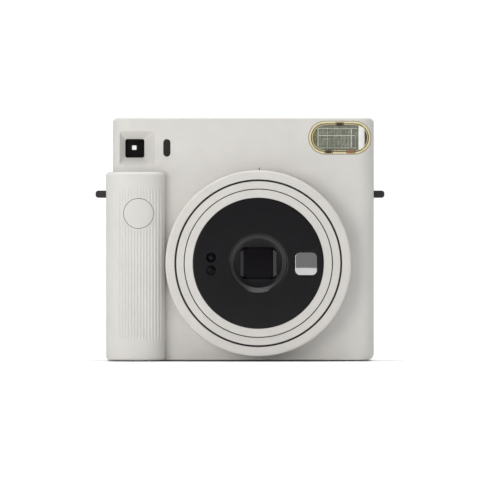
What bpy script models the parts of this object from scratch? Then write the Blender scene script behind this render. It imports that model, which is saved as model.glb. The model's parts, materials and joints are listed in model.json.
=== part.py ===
"""Square-format instant film camera, built as one named solid for each physical piece.

Sizes are in millimetres and become metres where a mesh is made. The front faces -Y, +X is the
right of someone looking at the front, and +Z is up. The origin is under the middle of the camera,
at the level it stands on.
"""

import bmesh
import bpy
from math import acos, asin, atan2, cos, degrees, hypot, pi, radians, sin, sqrt
from mathutils import Matrix, Vector

METRES_PER_MM = 0.001
GAP = 0.3          # clearance between neighbouring pieces
OVERSHOOT = 1.0    # how far a cutter runs past the face it opens

# ---- the body ------------------------------------------------------------------------------
BODY_WIDTH = 130.7
BODY_HEIGHT = 118.6
BODY_DEPTH = 57.5
WALL = 2.0
FOOT_HEIGHT = 0.5

RIGHT = BODY_WIDTH / 2
GRIP_LEFT = -BODY_WIDTH / 2
GRIP_OVERHANG = 3.25
LEFT = GRIP_LEFT + GRIP_OVERHANG
LENS_FRONT = -BODY_DEPTH / 2
BACK = BODY_DEPTH / 2
FRONT = LENS_FRONT + 13.5
TOP = BODY_HEIGHT
BASE = FOOT_HEIGHT
PARTING_Y = 4.0

FRONT_LEFT_RADIUS = 9.0
FRONT_RIGHT_RADIUS = 7.0
BACK_LEFT_RADIUS = 3.0
HINGE_RADIUS = 2.25
SILHOUETTE_RADIUS = 3.2
EDGE_RADIUS = 0.9

# ---- the grip ------------------------------------------------------------------------------
GRIP_RIGHT = -36.3
GRIP_FRONT = FRONT - 11.0
GRIP_TOP = 92.3
GRIP_CREST_X = (GRIP_LEFT + GRIP_RIGHT) / 2
GRIP_HALF_WIDTH = (GRIP_RIGHT - GRIP_LEFT) / 2
GRIP_SIDE_Y = -12.0
GRIP_BACK_RADIUS = 6.0
GRIP_ROUNDNESS = 2.4
GROOVE_PITCH = 1.5
GROOVE_COUNT = 15
GROOVE_FIRST_X = -58.4
GROOVE_BOTTOM = 10.0
GROOVE_TOP = 84.0
GROOVE_HALF_WIDTH = 0.42
GROOVE_DEPTH = 0.3
GROOVE_END_DEPTH = 0.02

# ---- the shutter button ----------------------------------------------------------------------
BUTTON_X = -49.3
BUTTON_Z = 72.0
BUTTON_RADIUS = 7.25
BUTTON_TRAVEL = 1.2

# ---- the lens ------------------------------------------------------------------------------
LENS_X = 8.9
LENS_Z = 47.8
RING_RADIUS = 45.2
BAND_RADIUS = 40.3
BARREL_RADIUS = 35.8
DISC_RADIUS = 31.7
DISH_RADIUS = 14.4
DISH_FLOOR_RADIUS = 12.0
RING_FACE = LENS_FRONT + 0.4
LENS_STEPS = 72
BARREL_BACK = -9.6
DISC_FACE = LENS_FRONT + 0.15
DISH_DEPTH = 2.0
LENS_WELL = (-7.15, -7.75, 7.15, 7.75)
SENSOR_EYES = ((-22.9, 2.8), (-22.9, -3.4))
MIRROR_AT = (23.2, -0.3)
MIRROR_SIZE = (10.5, 10.9)

# ---- the shutter ---------------------------------------------------------------------------
PLATE_FRONT = -17.4
BLADE_PIVOT = 13.0

# ---- the film and its path -----------------------------------------------------------------
FILM_Y = 10.6
FILM_WIDTH = 72.0
FILM_HEIGHT = 86.0
PICTURE_SIZE = 62.0
PACK_WIDTH = 78.0
PACK_BOTTOM = 9.8
PACK_TOP = 99.0
PACK_BACK = 24.3
ROLLER_Z = 107.3
ROLLER_RADIUS = 4.7
ROLLER_SPACING = 9.8
SHAFT_RADIUS = 1.4
CHASSIS_LEFT = LENS_X - 42.0
CHASSIS_RIGHT = LENS_X + 42.0
CHASSIS_WALL = 1.8
CHASSIS_FRONT = 4.5
CHASSIS_BACK = 23.6
CHASSIS_BOTTOM = 6.8
CHASSIS_TOP = 101.4
CLAW_LOW_Y = 9.4
CLAW_HIGH_Y = 12.8
CLAW_Z = 30.0
CLAW_TRAVEL = 6.0
FLAP_Y = FILM_Y + 1.3
FLAP_Z = TOP - 1.0

# ---- the gears -----------------------------------------------------------------------------
GEAR_MODULE = 0.7
ROLLER_TEETH = 14
IDLER_TEETH = 18
PINION_TEETH = 9
GEAR_LEFT = CHASSIS_RIGHT + 0.5
GEAR_RIGHT = GEAR_LEFT + 3.0
MOTOR_Y = -4.4
MOTOR_Z = 95.0
MOTOR_RADIUS = 6.0
ROLLER_FRONT_Y = FILM_Y - ROLLER_SPACING / 2
ROLLER_REAR_Y = FILM_Y + ROLLER_SPACING / 2
ROLLER_PITCH = GEAR_MODULE * ROLLER_TEETH / 2
IDLER_PITCH = GEAR_MODULE * IDLER_TEETH / 2
PINION_PITCH = GEAR_MODULE * PINION_TEETH / 2

# ---- the film door ---------------------------------------------------------------------------
DOOR_LEFT = -36.5
DOOR_BOTTOM = 9.0
DOOR_TOP = 109.0
DOOR_THICKNESS = 2.5
HINGE_X = RIGHT - HINGE_RADIUS
HINGE_Y = BACK - HINGE_RADIUS
HINGE_PIN_RADIUS = 0.75
FILM_WINDOW = (LENS_X - 11.0, 44.0, LENS_X + 11.0, 51.0)
LATCH_RECESS = (-34.5, 54.0, -23.9, 64.0)
LATCH_TRAVEL = 3.0

# ---- the batteries ---------------------------------------------------------------------------
BATTERY_X = -54.9
BATTERY_Y = 14.0
BATTERY_RADIUS = 7.75
BATTERY_LENGTH = 26.8
BATTERY_BOTTOM = 8.6
COVER_HINGE_Y = 21.4
COVER_LOW_Y = 6.4
COVER_LOW_Z = 7.2
COVER_HIGH_Z = 64.6

# ---- the viewfinder, the light sensor and the flash ----------------------------------------------
FINDER_OUTER = (-58.6, 95.3, -41.5, 112.0)
FINDER_INNER = (-56.0, 99.3, -46.7, 108.4)
FINDER_DEPTH = 6.0
EYEPIECE_SIZE = 10.8
FINDER_X = (FINDER_INNER[0] + FINDER_INNER[2]) / 2
FINDER_Z = (FINDER_INNER[1] + FINDER_INNER[3]) / 2
COUNTER_X = -50.0
COUNTER_Z = 80.6
COUNTER_RADIUS = 3.4
DIAL_Z = 75.2
DIAL_Y = 25.2
DIAL_RADIUS = 8.4
DIAL_BORE = 1.3
SENSOR_PILL = (-37.4, 99.7, -33.9, 108.3)
FLASH_OUTER = (33.4, 100.9, 64.0, 117.1)
FLASH_INNER = (37.3, 102.7, 61.0, 115.0)

# ---- the strap lugs --------------------------------------------------------------------------
LUG_Z = 81.5
LUG_Y = -3.0
LUG_HEIGHT = 3.5
LUG_REACH = 5.3

# ---- feet and screws -------------------------------------------------------------------------
FEET = (
    ("foot_front_left", -48.8, -19.0),
    ("foot_front_right", 48.0, -7.0),
    ("foot_back_left", -48.8, 20.5),
    ("foot_back_right", 48.0, 20.5),
)
FOOT_RADIUS = 3.9
FOOT_POCKET = 0.8
SCREWS = (("body_screw_left", -22.0, 12.0), ("body_screw_right", 28.0, 12.0))


# ---- scene and materials -----------------------------------------------------------------------
def clear_scene():
    for thing in list(bpy.data.objects):
        bpy.data.objects.remove(thing, do_unlink=True)


def make_collection(name, hidden):
    collection = bpy.data.collections.new(name)
    bpy.context.scene.collection.children.link(collection)
    collection.hide_render = hidden
    return collection


def make_material(name, colour, roughness, metallic=0.0, transmission=0.0):
    material = bpy.data.materials.new(name)
    material.use_nodes = True
    shader = material.node_tree.nodes["Principled BSDF"]
    shader.inputs["Base Color"].default_value = (*colour, 1.0)
    shader.inputs["Roughness"].default_value = roughness
    shader.inputs["Metallic"].default_value = metallic
    shader.inputs["Transmission Weight"].default_value = transmission
    material.diffuse_color = (*colour, 1.0)
    return material


clear_scene()
PIECES = make_collection("instant_camera", hidden=False)
CUTTERS = make_collection("cutters", hidden=True)
MATERIALS = {
    "shell": make_material("shell", (0.66, 0.64, 0.60), 0.55),
    "ring": make_material("ring", (0.64, 0.63, 0.59), 0.6),
    "black_gloss": make_material("black_gloss", (0.02, 0.02, 0.022), 0.15),
    "black_matte": make_material("black_matte", (0.03, 0.03, 0.03), 0.6),
    "clear": make_material("clear", (0.8, 0.8, 0.75), 0.05, transmission=1.0),
    "amber": make_material("amber", (0.72, 0.68, 0.45), 0.12, transmission=0.8),
    "smoke": make_material("smoke", (0.05, 0.05, 0.045), 0.1, transmission=0.3),
    "mirror": make_material("mirror", (0.8, 0.8, 0.8), 0.03, metallic=1.0),
    "steel": make_material("steel", (0.55, 0.55, 0.56), 0.3, metallic=1.0),
    "white_plastic": make_material("white_plastic", (0.8, 0.8, 0.78), 0.4),
    "board": make_material("board", (0.03, 0.16, 0.07), 0.45),
    "rubber": make_material("rubber", (0.05, 0.045, 0.045), 0.8),
    "film": make_material("film", (0.82, 0.82, 0.8), 0.35),
    "foil": make_material("foil", (0.75, 0.75, 0.74), 0.25, metallic=1.0),
}


# ---- making solids ---------------------------------------------------------------------------
def add_object(name, mesh, material, origin=(0.0, 0.0, 0.0)):
    """Links a mesh that is in world millimetres, with the object's origin at the given point."""
    mesh.transform(Matrix.Translation(-Vector(origin)))
    mesh.transform(Matrix.Scale(METRES_PER_MM, 4))
    thing = bpy.data.objects.new(name, mesh)
    thing.location = Vector(origin) * METRES_PER_MM
    if material is None:
        CUTTERS.objects.link(thing)
        thing.hide_render = True
        thing.display_type = "WIRE"
    else:
        PIECES.objects.link(thing)
        mesh.materials.append(MATERIALS[material])
    return thing


def mesh_of(bm, name):
    bmesh.ops.recalc_face_normals(bm, faces=bm.faces)
    mesh = bpy.data.meshes.new(name)
    bm.to_mesh(mesh)
    bm.free()
    return mesh


def box(name, low, high, material=None, origin=(0.0, 0.0, 0.0)):
    bm = bmesh.new()
    bmesh.ops.create_cube(bm, size=1.0)
    size = Vector(high) - Vector(low)
    bmesh.ops.scale(bm, vec=size, verts=bm.verts)
    bmesh.ops.translate(bm, vec=(Vector(high) + Vector(low)) / 2, verts=bm.verts)
    return add_object(name, mesh_of(bm, name), material, origin)


def axis_point(axis, across, up, along):
    """A world point from a flat outline's two coordinates and a distance along the axis."""
    if axis == "X":
        return Vector((along, across, up))
    if axis == "Y":
        return Vector((across, along, up))
    return Vector((across, up, along))


def prism(name, outline, low, high, axis, material=None, origin=(0.0, 0.0, 0.0), taper=None):
    """A flat outline carried along an axis; taper is the outline at the far end, if it differs."""
    bm = bmesh.new()
    near = bm.faces.new([bm.verts.new(axis_point(axis, a, b, low)) for a, b in outline])
    extruded = bmesh.ops.extrude_face_region(bm, geom=[near])["geom"]
    far = next(item for item in extruded if isinstance(item, bmesh.types.BMFace))
    for vertex, (a, b) in zip(far.verts, taper or outline):
        vertex.co = axis_point(axis, a, b, high)
    return add_object(name, mesh_of(bm, name), material, origin)


def turned(name, profile, centre, axis, steps, material=None, origin=(0.0, 0.0, 0.0)):
    """A profile of (radius, distance along the axis) spun about a line through the centre."""
    bm = bmesh.new()
    points = [bm.verts.new((radius, 0.0, along)) for radius, along in profile]
    for first, second in zip(points, points[1:]):
        bm.edges.new((first, second))
    if profile[0][0] > 0.0 and profile[-1][0] > 0.0:
        bm.edges.new((points[-1], points[0]))
    bmesh.ops.spin(
        bm, geom=bm.verts[:] + bm.edges[:], cent=(0, 0, 0), axis=(0, 0, 1),
        angle=2 * pi, steps=steps, use_merge=True,
    )
    bmesh.ops.remove_doubles(bm, verts=bm.verts, dist=1e-5)
    for vertex in bm.verts:
        across, up, along = vertex.co
        vertex.co = axis_point(axis, across, up, along)
    offset = axis_point(axis, centre[0], centre[1], 0.0)
    bmesh.ops.translate(bm, vec=offset, verts=bm.verts)
    thing = add_object(name, mesh_of(bm, name), material, origin)
    smooth(thing)
    return thing


def cylinder(name, radius, centre, low, high, axis, steps=24, material=None, origin=(0.0, 0.0, 0.0)):
    profile = [(0.0, low), (radius, low), (radius, high), (0.0, high)]
    return turned(name, profile, centre, axis, steps, material, origin)


def smooth(thing, angle=35):
    thing.data.shade_smooth()
    thing.data.set_sharp_from_angle(angle=radians(angle))


def combine(thing, other, operation):
    modifier = thing.modifiers.new(f"{operation.lower()}_{other.name}", "BOOLEAN")
    modifier.operation = operation
    modifier.object = other
    modifier.solver = "EXACT"


def cut(thing, *others):
    for other in others:
        combine(thing, other, "DIFFERENCE")


def join(thing, *others):
    for other in others:
        combine(thing, other, "UNION")


def keep_inside(thing, other):
    combine(thing, other, "INTERSECT")


def round_edges(thing, radius, segments=2, angle=50):
    modifier = thing.modifiers.new("rounded_edges", "BEVEL")
    modifier.width = radius * METRES_PER_MM
    modifier.segments = segments
    modifier.limit_method = "ANGLE"
    modifier.angle_limit = radians(angle)


# ---- flat outlines ---------------------------------------------------------------------------
def arc(centre, radius, start, end, steps):
    """Points of an arc from one angle in degrees to another, both ends included."""
    return [
        (
            centre[0] + radius * cos(radians(start + (end - start) * i / steps)),
            centre[1] + radius * sin(radians(start + (end - start) * i / steps)),
        )
        for i in range(steps + 1)
    ]


def rounded_rectangle(low_a, low_b, high_a, high_b, radii, steps=4):
    """Corner radii are for low-low, high-low, high-high and low-high; one number serves all."""
    if not isinstance(radii, tuple):
        radii = (radii,) * 4
    corners = [
        (low_a + radii[0], low_b + radii[0], 180),
        (high_a - radii[1], low_b + radii[1], 270),
        (high_a - radii[2], high_b - radii[2], 0),
        (low_a + radii[3], high_b - radii[3], 90),
    ]
    points = []
    for (a, b, start), radius in zip(corners, radii):
        points += arc((a, b), radius, start, start + 90, steps)
    return points


def stadium(low_a, low_b, high_a, high_b, steps=8):
    """A rectangle whose shorter sides are half circles."""
    radius = min(high_a - low_a, high_b - low_b) / 2
    if high_a - low_a > high_b - low_b:
        right = arc((high_a - radius, low_b + radius), radius, -90, 90, steps)
        left = arc((low_a + radius, low_b + radius), radius, 90, 270, steps)
        return right + left
    upper = arc((low_a + radius, high_b - radius), radius, 0, 180, steps)
    lower = arc((low_a + radius, low_b + radius), radius, 180, 360, steps)
    return upper + lower


def body_outline(inset):
    """The upper body seen from above."""
    radii = (
        FRONT_LEFT_RADIUS - inset,
        FRONT_RIGHT_RADIUS - inset,
        max(HINGE_RADIUS - inset, 0.25),
        BACK_LEFT_RADIUS - inset,
    )
    return rounded_rectangle(LEFT + inset, FRONT + inset, RIGHT - inset, BACK - inset, radii, steps=6)


def grip_front_y(x, inset=0.0):
    """How far forward the grip's surface lies at a place across it."""
    half_width = GRIP_HALF_WIDTH - inset
    across = min(abs(x - GRIP_CREST_X) / half_width, 1.0)
    root = FRONT if x > GRIP_CREST_X else GRIP_SIDE_Y
    reach = root - (GRIP_FRONT + inset)
    return root - reach * (1.0 - across**GRIP_ROUNDNESS) ** (1.0 / GRIP_ROUNDNESS)


def grip_outline(inset):
    """The grip seen from above, closed inside the body."""
    half_width = GRIP_HALF_WIDTH - inset
    steps = 16
    front = [
        (
            GRIP_CREST_X + half_width * cos(pi * i / steps),
            grip_front_y(GRIP_CREST_X + half_width * cos(pi * i / steps), inset),
        )
        for i in range(steps + 1)
    ]
    radius = GRIP_BACK_RADIUS - inset
    back = arc((GRIP_LEFT + inset + radius, BACK - inset - radius), radius, 180, 90, 5)
    inside = [(GRIP_RIGHT - inset - 6.0, BACK - inset), (GRIP_RIGHT - inset, FRONT + 6.0)]
    return front + back + inside


# ---- the two covers --------------------------------------------------------------------------
def camera_volume(name, inset):
    """The body with its grip as one solid, smaller all round by the inset."""
    volume = prism(name, body_outline(inset), BASE + inset, TOP - inset, "Z")
    silhouette = prism(
        f"{name}_silhouette",
        rounded_rectangle(
            LEFT + inset, BASE + inset, RIGHT - inset, TOP - inset, SILHOUETTE_RADIUS - inset, steps=4
        ),
        FRONT - OVERSHOOT, BACK + OVERSHOOT, "Y",
    )
    keep_inside(volume, silhouette)
    grip = prism(f"{name}_grip", grip_outline(inset), BASE + inset, GRIP_TOP - inset, "Z")
    if inset == 0.0:
        round_edges(volume, EDGE_RADIUS)
        round_edges(grip, EDGE_RADIUS * 2)
    join(volume, grip)
    return volume


def half_shell(name, material, low_y, high_y):
    """The part of the hollow camera body between two depths."""
    shell = camera_volume(name, 0.0)
    cut(shell, camera_volume(f"{name}_hollow", WALL))
    slab = box(
        f"{name}_slab",
        (GRIP_LEFT - OVERSHOOT, low_y, BASE - OVERSHOOT),
        (RIGHT + OVERSHOOT, high_y, TOP + OVERSHOOT),
    )
    keep_inside(shell, slab)
    CUTTERS.objects.unlink(shell)
    PIECES.objects.link(shell)
    shell.hide_render = False
    shell.display_type = "TEXTURED"
    shell.data.materials.append(MATERIALS[material])
    return shell


def groove_spans(x):
    """The heights a groove runs between; near the button it stops short above and below it."""
    margin = BUTTON_RADIUS + 2.2
    away = abs(x - BUTTON_X)
    if away >= margin:
        return [(GROOVE_BOTTOM, GROOVE_TOP)]
    half_gap = sqrt(margin**2 - away**2)
    spans = [(GROOVE_BOTTOM, BUTTON_Z - half_gap), (BUTTON_Z + half_gap, GROOVE_TOP)]
    return [(low, high) for low, high in spans if high - low > 1.5]


def cut_grip_grooves(cover):
    """Shallow upright grooves that fade at their ends, each a long thin double wedge."""
    for number in range(GROOVE_COUNT):
        x = GROOVE_FIRST_X + number * GROOVE_PITCH
        slope = (grip_front_y(x + 0.2) - grip_front_y(x - 0.2)) / 0.4
        normal = Vector((slope, -1.0, 0.0)).normalized()
        across = Vector((-normal.y, normal.x, 0.0))
        for part, (low, high) in enumerate(groove_spans(x)):
            bm = bmesh.new()
            surface = Vector((x, grip_front_y(x), 0.0))
            fade = min(2.0, (high - low) / 3)
            rings = []
            heights = (low, low + fade, high - fade, high)
            for z, depth in zip(heights, (GROOVE_END_DEPTH, GROOVE_DEPTH, GROOVE_DEPTH, GROOVE_END_DEPTH)):
                half_width = GROOVE_HALF_WIDTH * (depth / GROOVE_DEPTH) ** 0.5
                height = Vector((0.0, 0.0, z))
                left = surface + height - across * half_width + normal * 0.25
                right = surface + height + across * half_width + normal * 0.25
                bottom = surface + height - normal * depth
                rings.append([bm.verts.new(point) for point in (left, right, bottom)])
            bm.faces.new(rings[0])
            bm.faces.new(rings[-1])
            for lower, upper in zip(rings, rings[1:]):
                for i in range(3):
                    j = (i + 1) % 3
                    bm.faces.new((lower[i], lower[j], upper[j], upper[i]))
            name = f"groove_{number}_{part}"
            cut(cover, add_object(name, mesh_of(bm, name), None))


def cut_finder_recess(cover):
    """A four-sided funnel behind the front face, with a window at its floor."""
    x_low, z_low, x_high, z_high = FINDER_OUTER
    floor = FRONT + FINDER_DEPTH
    funnel = box(
        "finder_funnel",
        (x_low - WALL / 2, FRONT + WALL / 2, z_low - WALL),
        (x_high + WALL, floor + WALL / 2, z_high + WALL),
    )
    keep_inside(funnel, prism("finder_funnel_skin", body_outline(WALL / 2), BASE, TOP, "Z"))
    join(cover, funnel)
    outer = rounded_rectangle(*FINDER_OUTER, 1.5, steps=3)
    inner = rounded_rectangle(*FINDER_INNER, 0.9, steps=3)
    recess = prism("finder_recess", outer, FRONT - 0.02, floor, "Y", taper=inner)
    mouth = prism("finder_mouth", outer, FRONT - 5.0, FRONT, "Y")
    window = prism("finder_window_hole", inner, floor - 0.01, floor + WALL, "Y")
    cut(cover, recess, mouth, window)


def make_front_cover():
    cover = half_shell("front_cover", "shell", GRIP_FRONT - OVERSHOOT, PARTING_Y - GAP / 2)
    cut_finder_recess(cover)
    cut(cover, cylinder(
        "lens_hole", BAND_RADIUS + GAP, (LENS_X, LENS_Z), FRONT - OVERSHOOT, FRONT + WALL + OVERSHOOT,
        "Y", LENS_STEPS,
    ))
    cut(cover, prism("sensor_hole", stadium(*SENSOR_PILL), FRONT - OVERSHOOT, FRONT + 3.0, "Y"))
    cut(cover, prism("flash_hole", stadium(*FLASH_OUTER), FRONT - OVERSHOOT, FRONT + 4.0, "Y"))
    cut(cover, cylinder(
        "button_hole", BUTTON_RADIUS + GAP, (BUTTON_X, BUTTON_Z), GRIP_FRONT - OVERSHOOT, GRIP_FRONT + 6.0,
        "Y", 36,
    ))
    cut_grip_grooves(cover)
    for side in (-1, 1):
        cut(cover, lug_slot(side))
    for name, x, y in FEET:
        if y < PARTING_Y:
            cut(cover, foot_pocket(name, x, y))
    return cover


def make_rear_cover():
    cover = half_shell("rear_cover", "shell", PARTING_Y + GAP / 2, BACK + OVERSHOOT)
    for name, low_z, high_z in (("low_knuckle", WALL, DOOR_BOTTOM), ("high_knuckle", DOOR_TOP, TOP - WALL)):
        join(cover, box(name, (HINGE_X - 4.5, HINGE_Y - 5.0, low_z), (HINGE_X + 0.9, HINGE_Y + 1.5, high_z)))
    cut(cover, box(
        "door_opening",
        (DOOR_LEFT - GAP, HINGE_Y - HINGE_RADIUS - GAP, DOOR_BOTTOM - GAP),
        (RIGHT + OVERSHOOT, BACK + OVERSHOOT, DOOR_TOP + GAP),
    ))
    cut(cover, cylinder(
        "hinge_pin_hole", HINGE_PIN_RADIUS + 0.2, (HINGE_X, HINGE_Y), BASE + WALL, TOP - WALL, "Z", 16,
    ))
    cut_exit_slot(cover)
    cut_battery_opening(cover)
    cut_rear_windows(cover)
    for name, x, y in FEET:
        if y > PARTING_Y:
            cut(cover, foot_pocket(name, x, y))
    for name, x, y in SCREWS:
        cut(cover, cylinder(f"{name}_hole", 1.25, (x, y), 1.0, 4.0, "Z", 16))
        cut(cover, cylinder(f"{name}_head_hole", 2.3, (x, y), 0.0, 1.7, "Z", 20))
    return cover


def cut_exit_slot(cover):
    x_low = LENS_X - FILM_WIDTH / 2 - 1.7
    x_high = LENS_X + FILM_WIDTH / 2 + 1.7
    cut(cover, box("exit_slot", (x_low, FILM_Y - 1.8, TOP - WALL - 1.0), (x_high, FILM_Y + 2.9, TOP + 1.0)))
    cut(cover, cylinder(
        "exit_pivot_holes", 0.5, (FLAP_Y, FLAP_Z), x_low - 1.6, x_high + 1.6, "X", 12,
    ))


def cut_battery_opening(cover):
    low = (GRIP_LEFT - OVERSHOOT, COVER_LOW_Y - GAP, COVER_LOW_Z - GAP)
    high = (GRIP_LEFT + WALL + OVERSHOOT, COVER_HINGE_Y + 1.0 + GAP, COVER_HIGH_Z + GAP)
    cut(cover, box("battery_opening", low, high))
    cut(cover, cylinder(
        "battery_pivot_holes", 0.6, (GRIP_LEFT + 1.0, COVER_HINGE_Y),
        COVER_LOW_Z - 1.5, COVER_HIGH_Z + 1.5, "Z", 12,
    ))


def cut_rear_windows(cover):
    half = EYEPIECE_SIZE / 2 + GAP
    cut(cover, prism(
        "eyepiece_hole",
        rounded_rectangle(FINDER_X - half, FINDER_Z - half, FINDER_X + half, FINDER_Z + half, 1.8),
        BACK - WALL - OVERSHOOT, BACK + OVERSHOOT, "Y",
    ))
    cut(cover, cylinder(
        "counter_hole", COUNTER_RADIUS + GAP, (COUNTER_X, COUNTER_Z),
        BACK - WALL - OVERSHOOT, BACK + OVERSHOOT, "Y", 24,
    ))
    join(cover, cylinder("dial_post", 1.0, (COUNTER_X, DIAL_Z), DIAL_Y - 0.8, BACK - 1.0, "Y", 16))


# ---- the film door ---------------------------------------------------------------------------
def make_film_door():
    inner = BACK - DOOR_THICKNESS
    start = -180 - degrees(asin((inner - HINGE_Y) / HINGE_RADIUS))
    barrel = arc((HINGE_X, HINGE_Y), HINGE_RADIUS, start, 90, 18)
    outline = [(DOOR_LEFT, inner)] + barrel + [(DOOR_LEFT + 0.6, BACK), (DOOR_LEFT, BACK - 0.6)]
    hinge_line = (HINGE_X, HINGE_Y, 0.0)
    door = prism("film_door", outline, DOOR_BOTTOM, DOOR_TOP, "Z", "shell", hinge_line)
    cut(door, cylinder(
        "door_bore", HINGE_PIN_RADIUS + 0.25, (HINGE_X, HINGE_Y), DOOR_BOTTOM - 1, DOOR_TOP + 1, "Z", 16,
    ))
    cut(door, prism("film_window_hole", stadium(*FILM_WINDOW), inner - 1, BACK + 1, "Y"))
    x_low, z_low, x_high, z_high = LATCH_RECESS
    cut(door, box("latch_hole", (x_low, inner - 1, z_low), (x_high, BACK + 1, z_high)))
    smooth(door)
    return door


def make_door_fittings():
    cylinder(
        "hinge_pin", HINGE_PIN_RADIUS, (HINGE_X, HINGE_Y), BASE + WALL + 0.4, TOP - WALL - 0.4,
        "Z", 12, "steel",
    )
    a, b, c, d = FILM_WINDOW
    prism("film_window", stadium(a + GAP, b + GAP, c - GAP, d - GAP), BACK - 2.0, BACK - 0.3, "Y", "amber")
    x_low, z_low, x_high, z_high = LATCH_RECESS
    latch = box(
        "door_latch",
        (x_low + GAP, BACK - 2.2, z_low + GAP),
        (x_high - GAP - LATCH_TRAVEL, BACK - 0.9, z_high - GAP),
        "black_matte",
    )
    for number in range(4):
        x = x_low + 1.4 + number * 1.5
        rib = box(f"latch_rib_{number}", (x, BACK - 1.4, z_low + 1.3), (x + 0.7, BACK - 0.15, z_high - 1.3))
        join(latch, rib)


# ---- the viewfinder and the exposure counter -------------------------------------------------------


def square_at_finder(size):
    return (FINDER_X - size / 2, FINDER_Z - size / 2, FINDER_X + size / 2, FINDER_Z + size / 2)


def make_viewfinder():
    floor = FRONT + FINDER_DEPTH
    a, b, c, d = FINDER_INNER
    glass = rounded_rectangle(a - 0.7, b - 0.7, c + 0.7, d + 0.7, 0.9, steps=3)
    prism("viewfinder_glass", glass, floor + WALL / 2 + GAP, floor + WALL / 2 + GAP + 1.2, "Y", "smoke")
    tunnel_front = floor + WALL / 2 + 2 * GAP + 1.2
    tunnel = prism(
        "viewfinder_tunnel", rounded_rectangle(*square_at_finder(11.0), 0.8, steps=2),
        tunnel_front, BACK - 4.2, "Y", "black_matte",
    )
    cut(tunnel, prism(
        "tunnel_hollow", rounded_rectangle(*square_at_finder(8.6), 0.5, steps=2),
        tunnel_front - 1, BACK, "Y",
    ))
    frame = prism(
        "eyepiece_frame", rounded_rectangle(*square_at_finder(EYEPIECE_SIZE), 1.6), BACK - 3.9, BACK - 0.2,
        "Y", "black_matte",
    )
    cut(frame, prism(
        "eyepiece_opening", rounded_rectangle(*square_at_finder(7.8), 1.0), BACK - 5, BACK + 1, "Y",
    ))
    prism(
        "eyepiece_glass", rounded_rectangle(*square_at_finder(7.8 - 2 * GAP), 0.8), BACK - 2.6, BACK - 1.4,
        "Y", "clear",
    )


def make_counter():
    cylinder(
        "counter_window", COUNTER_RADIUS, (COUNTER_X, COUNTER_Z), BACK - 1.6, BACK - 0.3, "Y", 24, "clear",
    )
    low, high = DIAL_Y - 0.5, DIAL_Y + 0.6
    profile = [(DIAL_BORE, low), (DIAL_RADIUS, low), (DIAL_RADIUS, high), (DIAL_BORE, high)]
    turned(
        "counter_dial", profile, (COUNTER_X, DIAL_Z), "Y", 30, "white_plastic", (COUNTER_X, DIAL_Y, DIAL_Z),
    )


# ---- the flash and the light sensor ----------------------------------------------------------------
def make_sensor_window():
    a, b, c, d = SENSOR_PILL
    outline = stadium(a + GAP, b + GAP, c - GAP, d - GAP)
    prism("sensor_window", outline, FRONT + 0.15, FRONT + 1.7, "Y", "smoke")


def flash_outline(shrink):
    a, b, c, d = FLASH_OUTER
    return stadium(a + shrink, b + shrink, c - shrink, d - shrink)


def make_flash():
    """A clear cover that wraps the body's corner, with the prism lens and the lamp behind it."""
    inner = rounded_rectangle(*FLASH_INNER, 1.4, steps=3)
    window = prism("flash_window", flash_outline(GAP), FRONT - OVERSHOOT, FRONT + 3.9, "Y", "amber")
    keep_inside(window, prism("flash_skin", body_outline(0.1), BASE, TOP, "Z"))
    cut(window, prism("flash_window_opening", inner, FRONT - OVERSHOOT, FRONT + 5.0, "Y"))
    a, b, c, d = FLASH_INNER
    lens_outline = rounded_rectangle(a + GAP, b + GAP, c - GAP, d - GAP, 1.2, steps=3)
    lens = prism("flash_lens", lens_outline, FRONT - OVERSHOOT, FRONT + 4.0, "Y", "clear")
    keep_inside(lens, prism("flash_lens_skin", body_outline(0.35), BASE, TOP, "Z"))
    cut(lens, box("flash_lens_back", (a - 1, FRONT + 1.6, b - 1), (c - 5.5, FRONT + 6.0, d + 1)))
    mouth = rounded_rectangle(a + 1.0, b + 1.0, c - 5.0, d - 1.0, 1.0, steps=2)
    throat = rounded_rectangle(a + 1.0, b + 3.6, c - 5.0, d - 3.6, 1.0, steps=2)
    front = FRONT + 4.4
    reflector = prism("flash_reflector", mouth, front, front + 7.5, "Y", "mirror", taper=throat)
    mouth_hollow = rounded_rectangle(a + 1.5, b + 1.5, c - 5.5, d - 1.5, 0.8, steps=2)
    throat_hollow = rounded_rectangle(a + 1.5, b + 4.1, c - 5.5, d - 4.1, 0.8, steps=2)
    cut(reflector, prism(
        "reflector_hollow", mouth_hollow, front - 0.4, front + 7.0, "Y", taper=throat_hollow,
    ))
    middle = (b + d) / 2
    cylinder("flash_tube", 1.3, (front + 4.6, middle), a + 2.0, c - 6.0, "X", 16, "clear")
    cylinder("flash_capacitor", 4.7, (-40.0, 10.5), 20.0, 52.0, "Z", 24, "black_gloss")


# ---- the lens --------------------------------------------------------------------------------
def lens_turned(name, profile, material, steps=LENS_STEPS, origin=None):
    """A turned piece on the lens axis; the profile is (radius, y)."""
    return turned(name, profile, (LENS_X, LENS_Z), "Y", steps, material, origin or (0.0, 0.0, 0.0))


def make_lens_ring():
    inner = BAND_RADIUS + 0.4
    profile = [
        (inner, RING_FACE), (42.8, RING_FACE + 0.1), (44.2, RING_FACE + 0.7), (44.9, RING_FACE + 1.8),
        (RING_RADIUS, RING_FACE + 3.4), (RING_RADIUS, FRONT - GAP), (RING_RADIUS - WALL, FRONT - GAP),
        (RING_RADIUS - WALL, RING_FACE + 2.5), (inner, RING_FACE + 2.5),
    ]
    lens_turned("lens_ring", profile, "ring", origin=(LENS_X, RING_FACE, LENS_Z))


def make_lens_band():
    inner = BARREL_RADIUS + GAP
    flange = FRONT + WALL + 0.2
    profile = [
        (inner, RING_FACE), (BAND_RADIUS, RING_FACE), (BAND_RADIUS, flange), (43.5, flange),
        (43.5, flange + 1.5), (38.4, flange + 1.5), (38.4, RING_FACE + 2.0), (inner, RING_FACE + 2.0),
    ]
    lens_turned("lens_band", profile, "ring")


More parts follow.
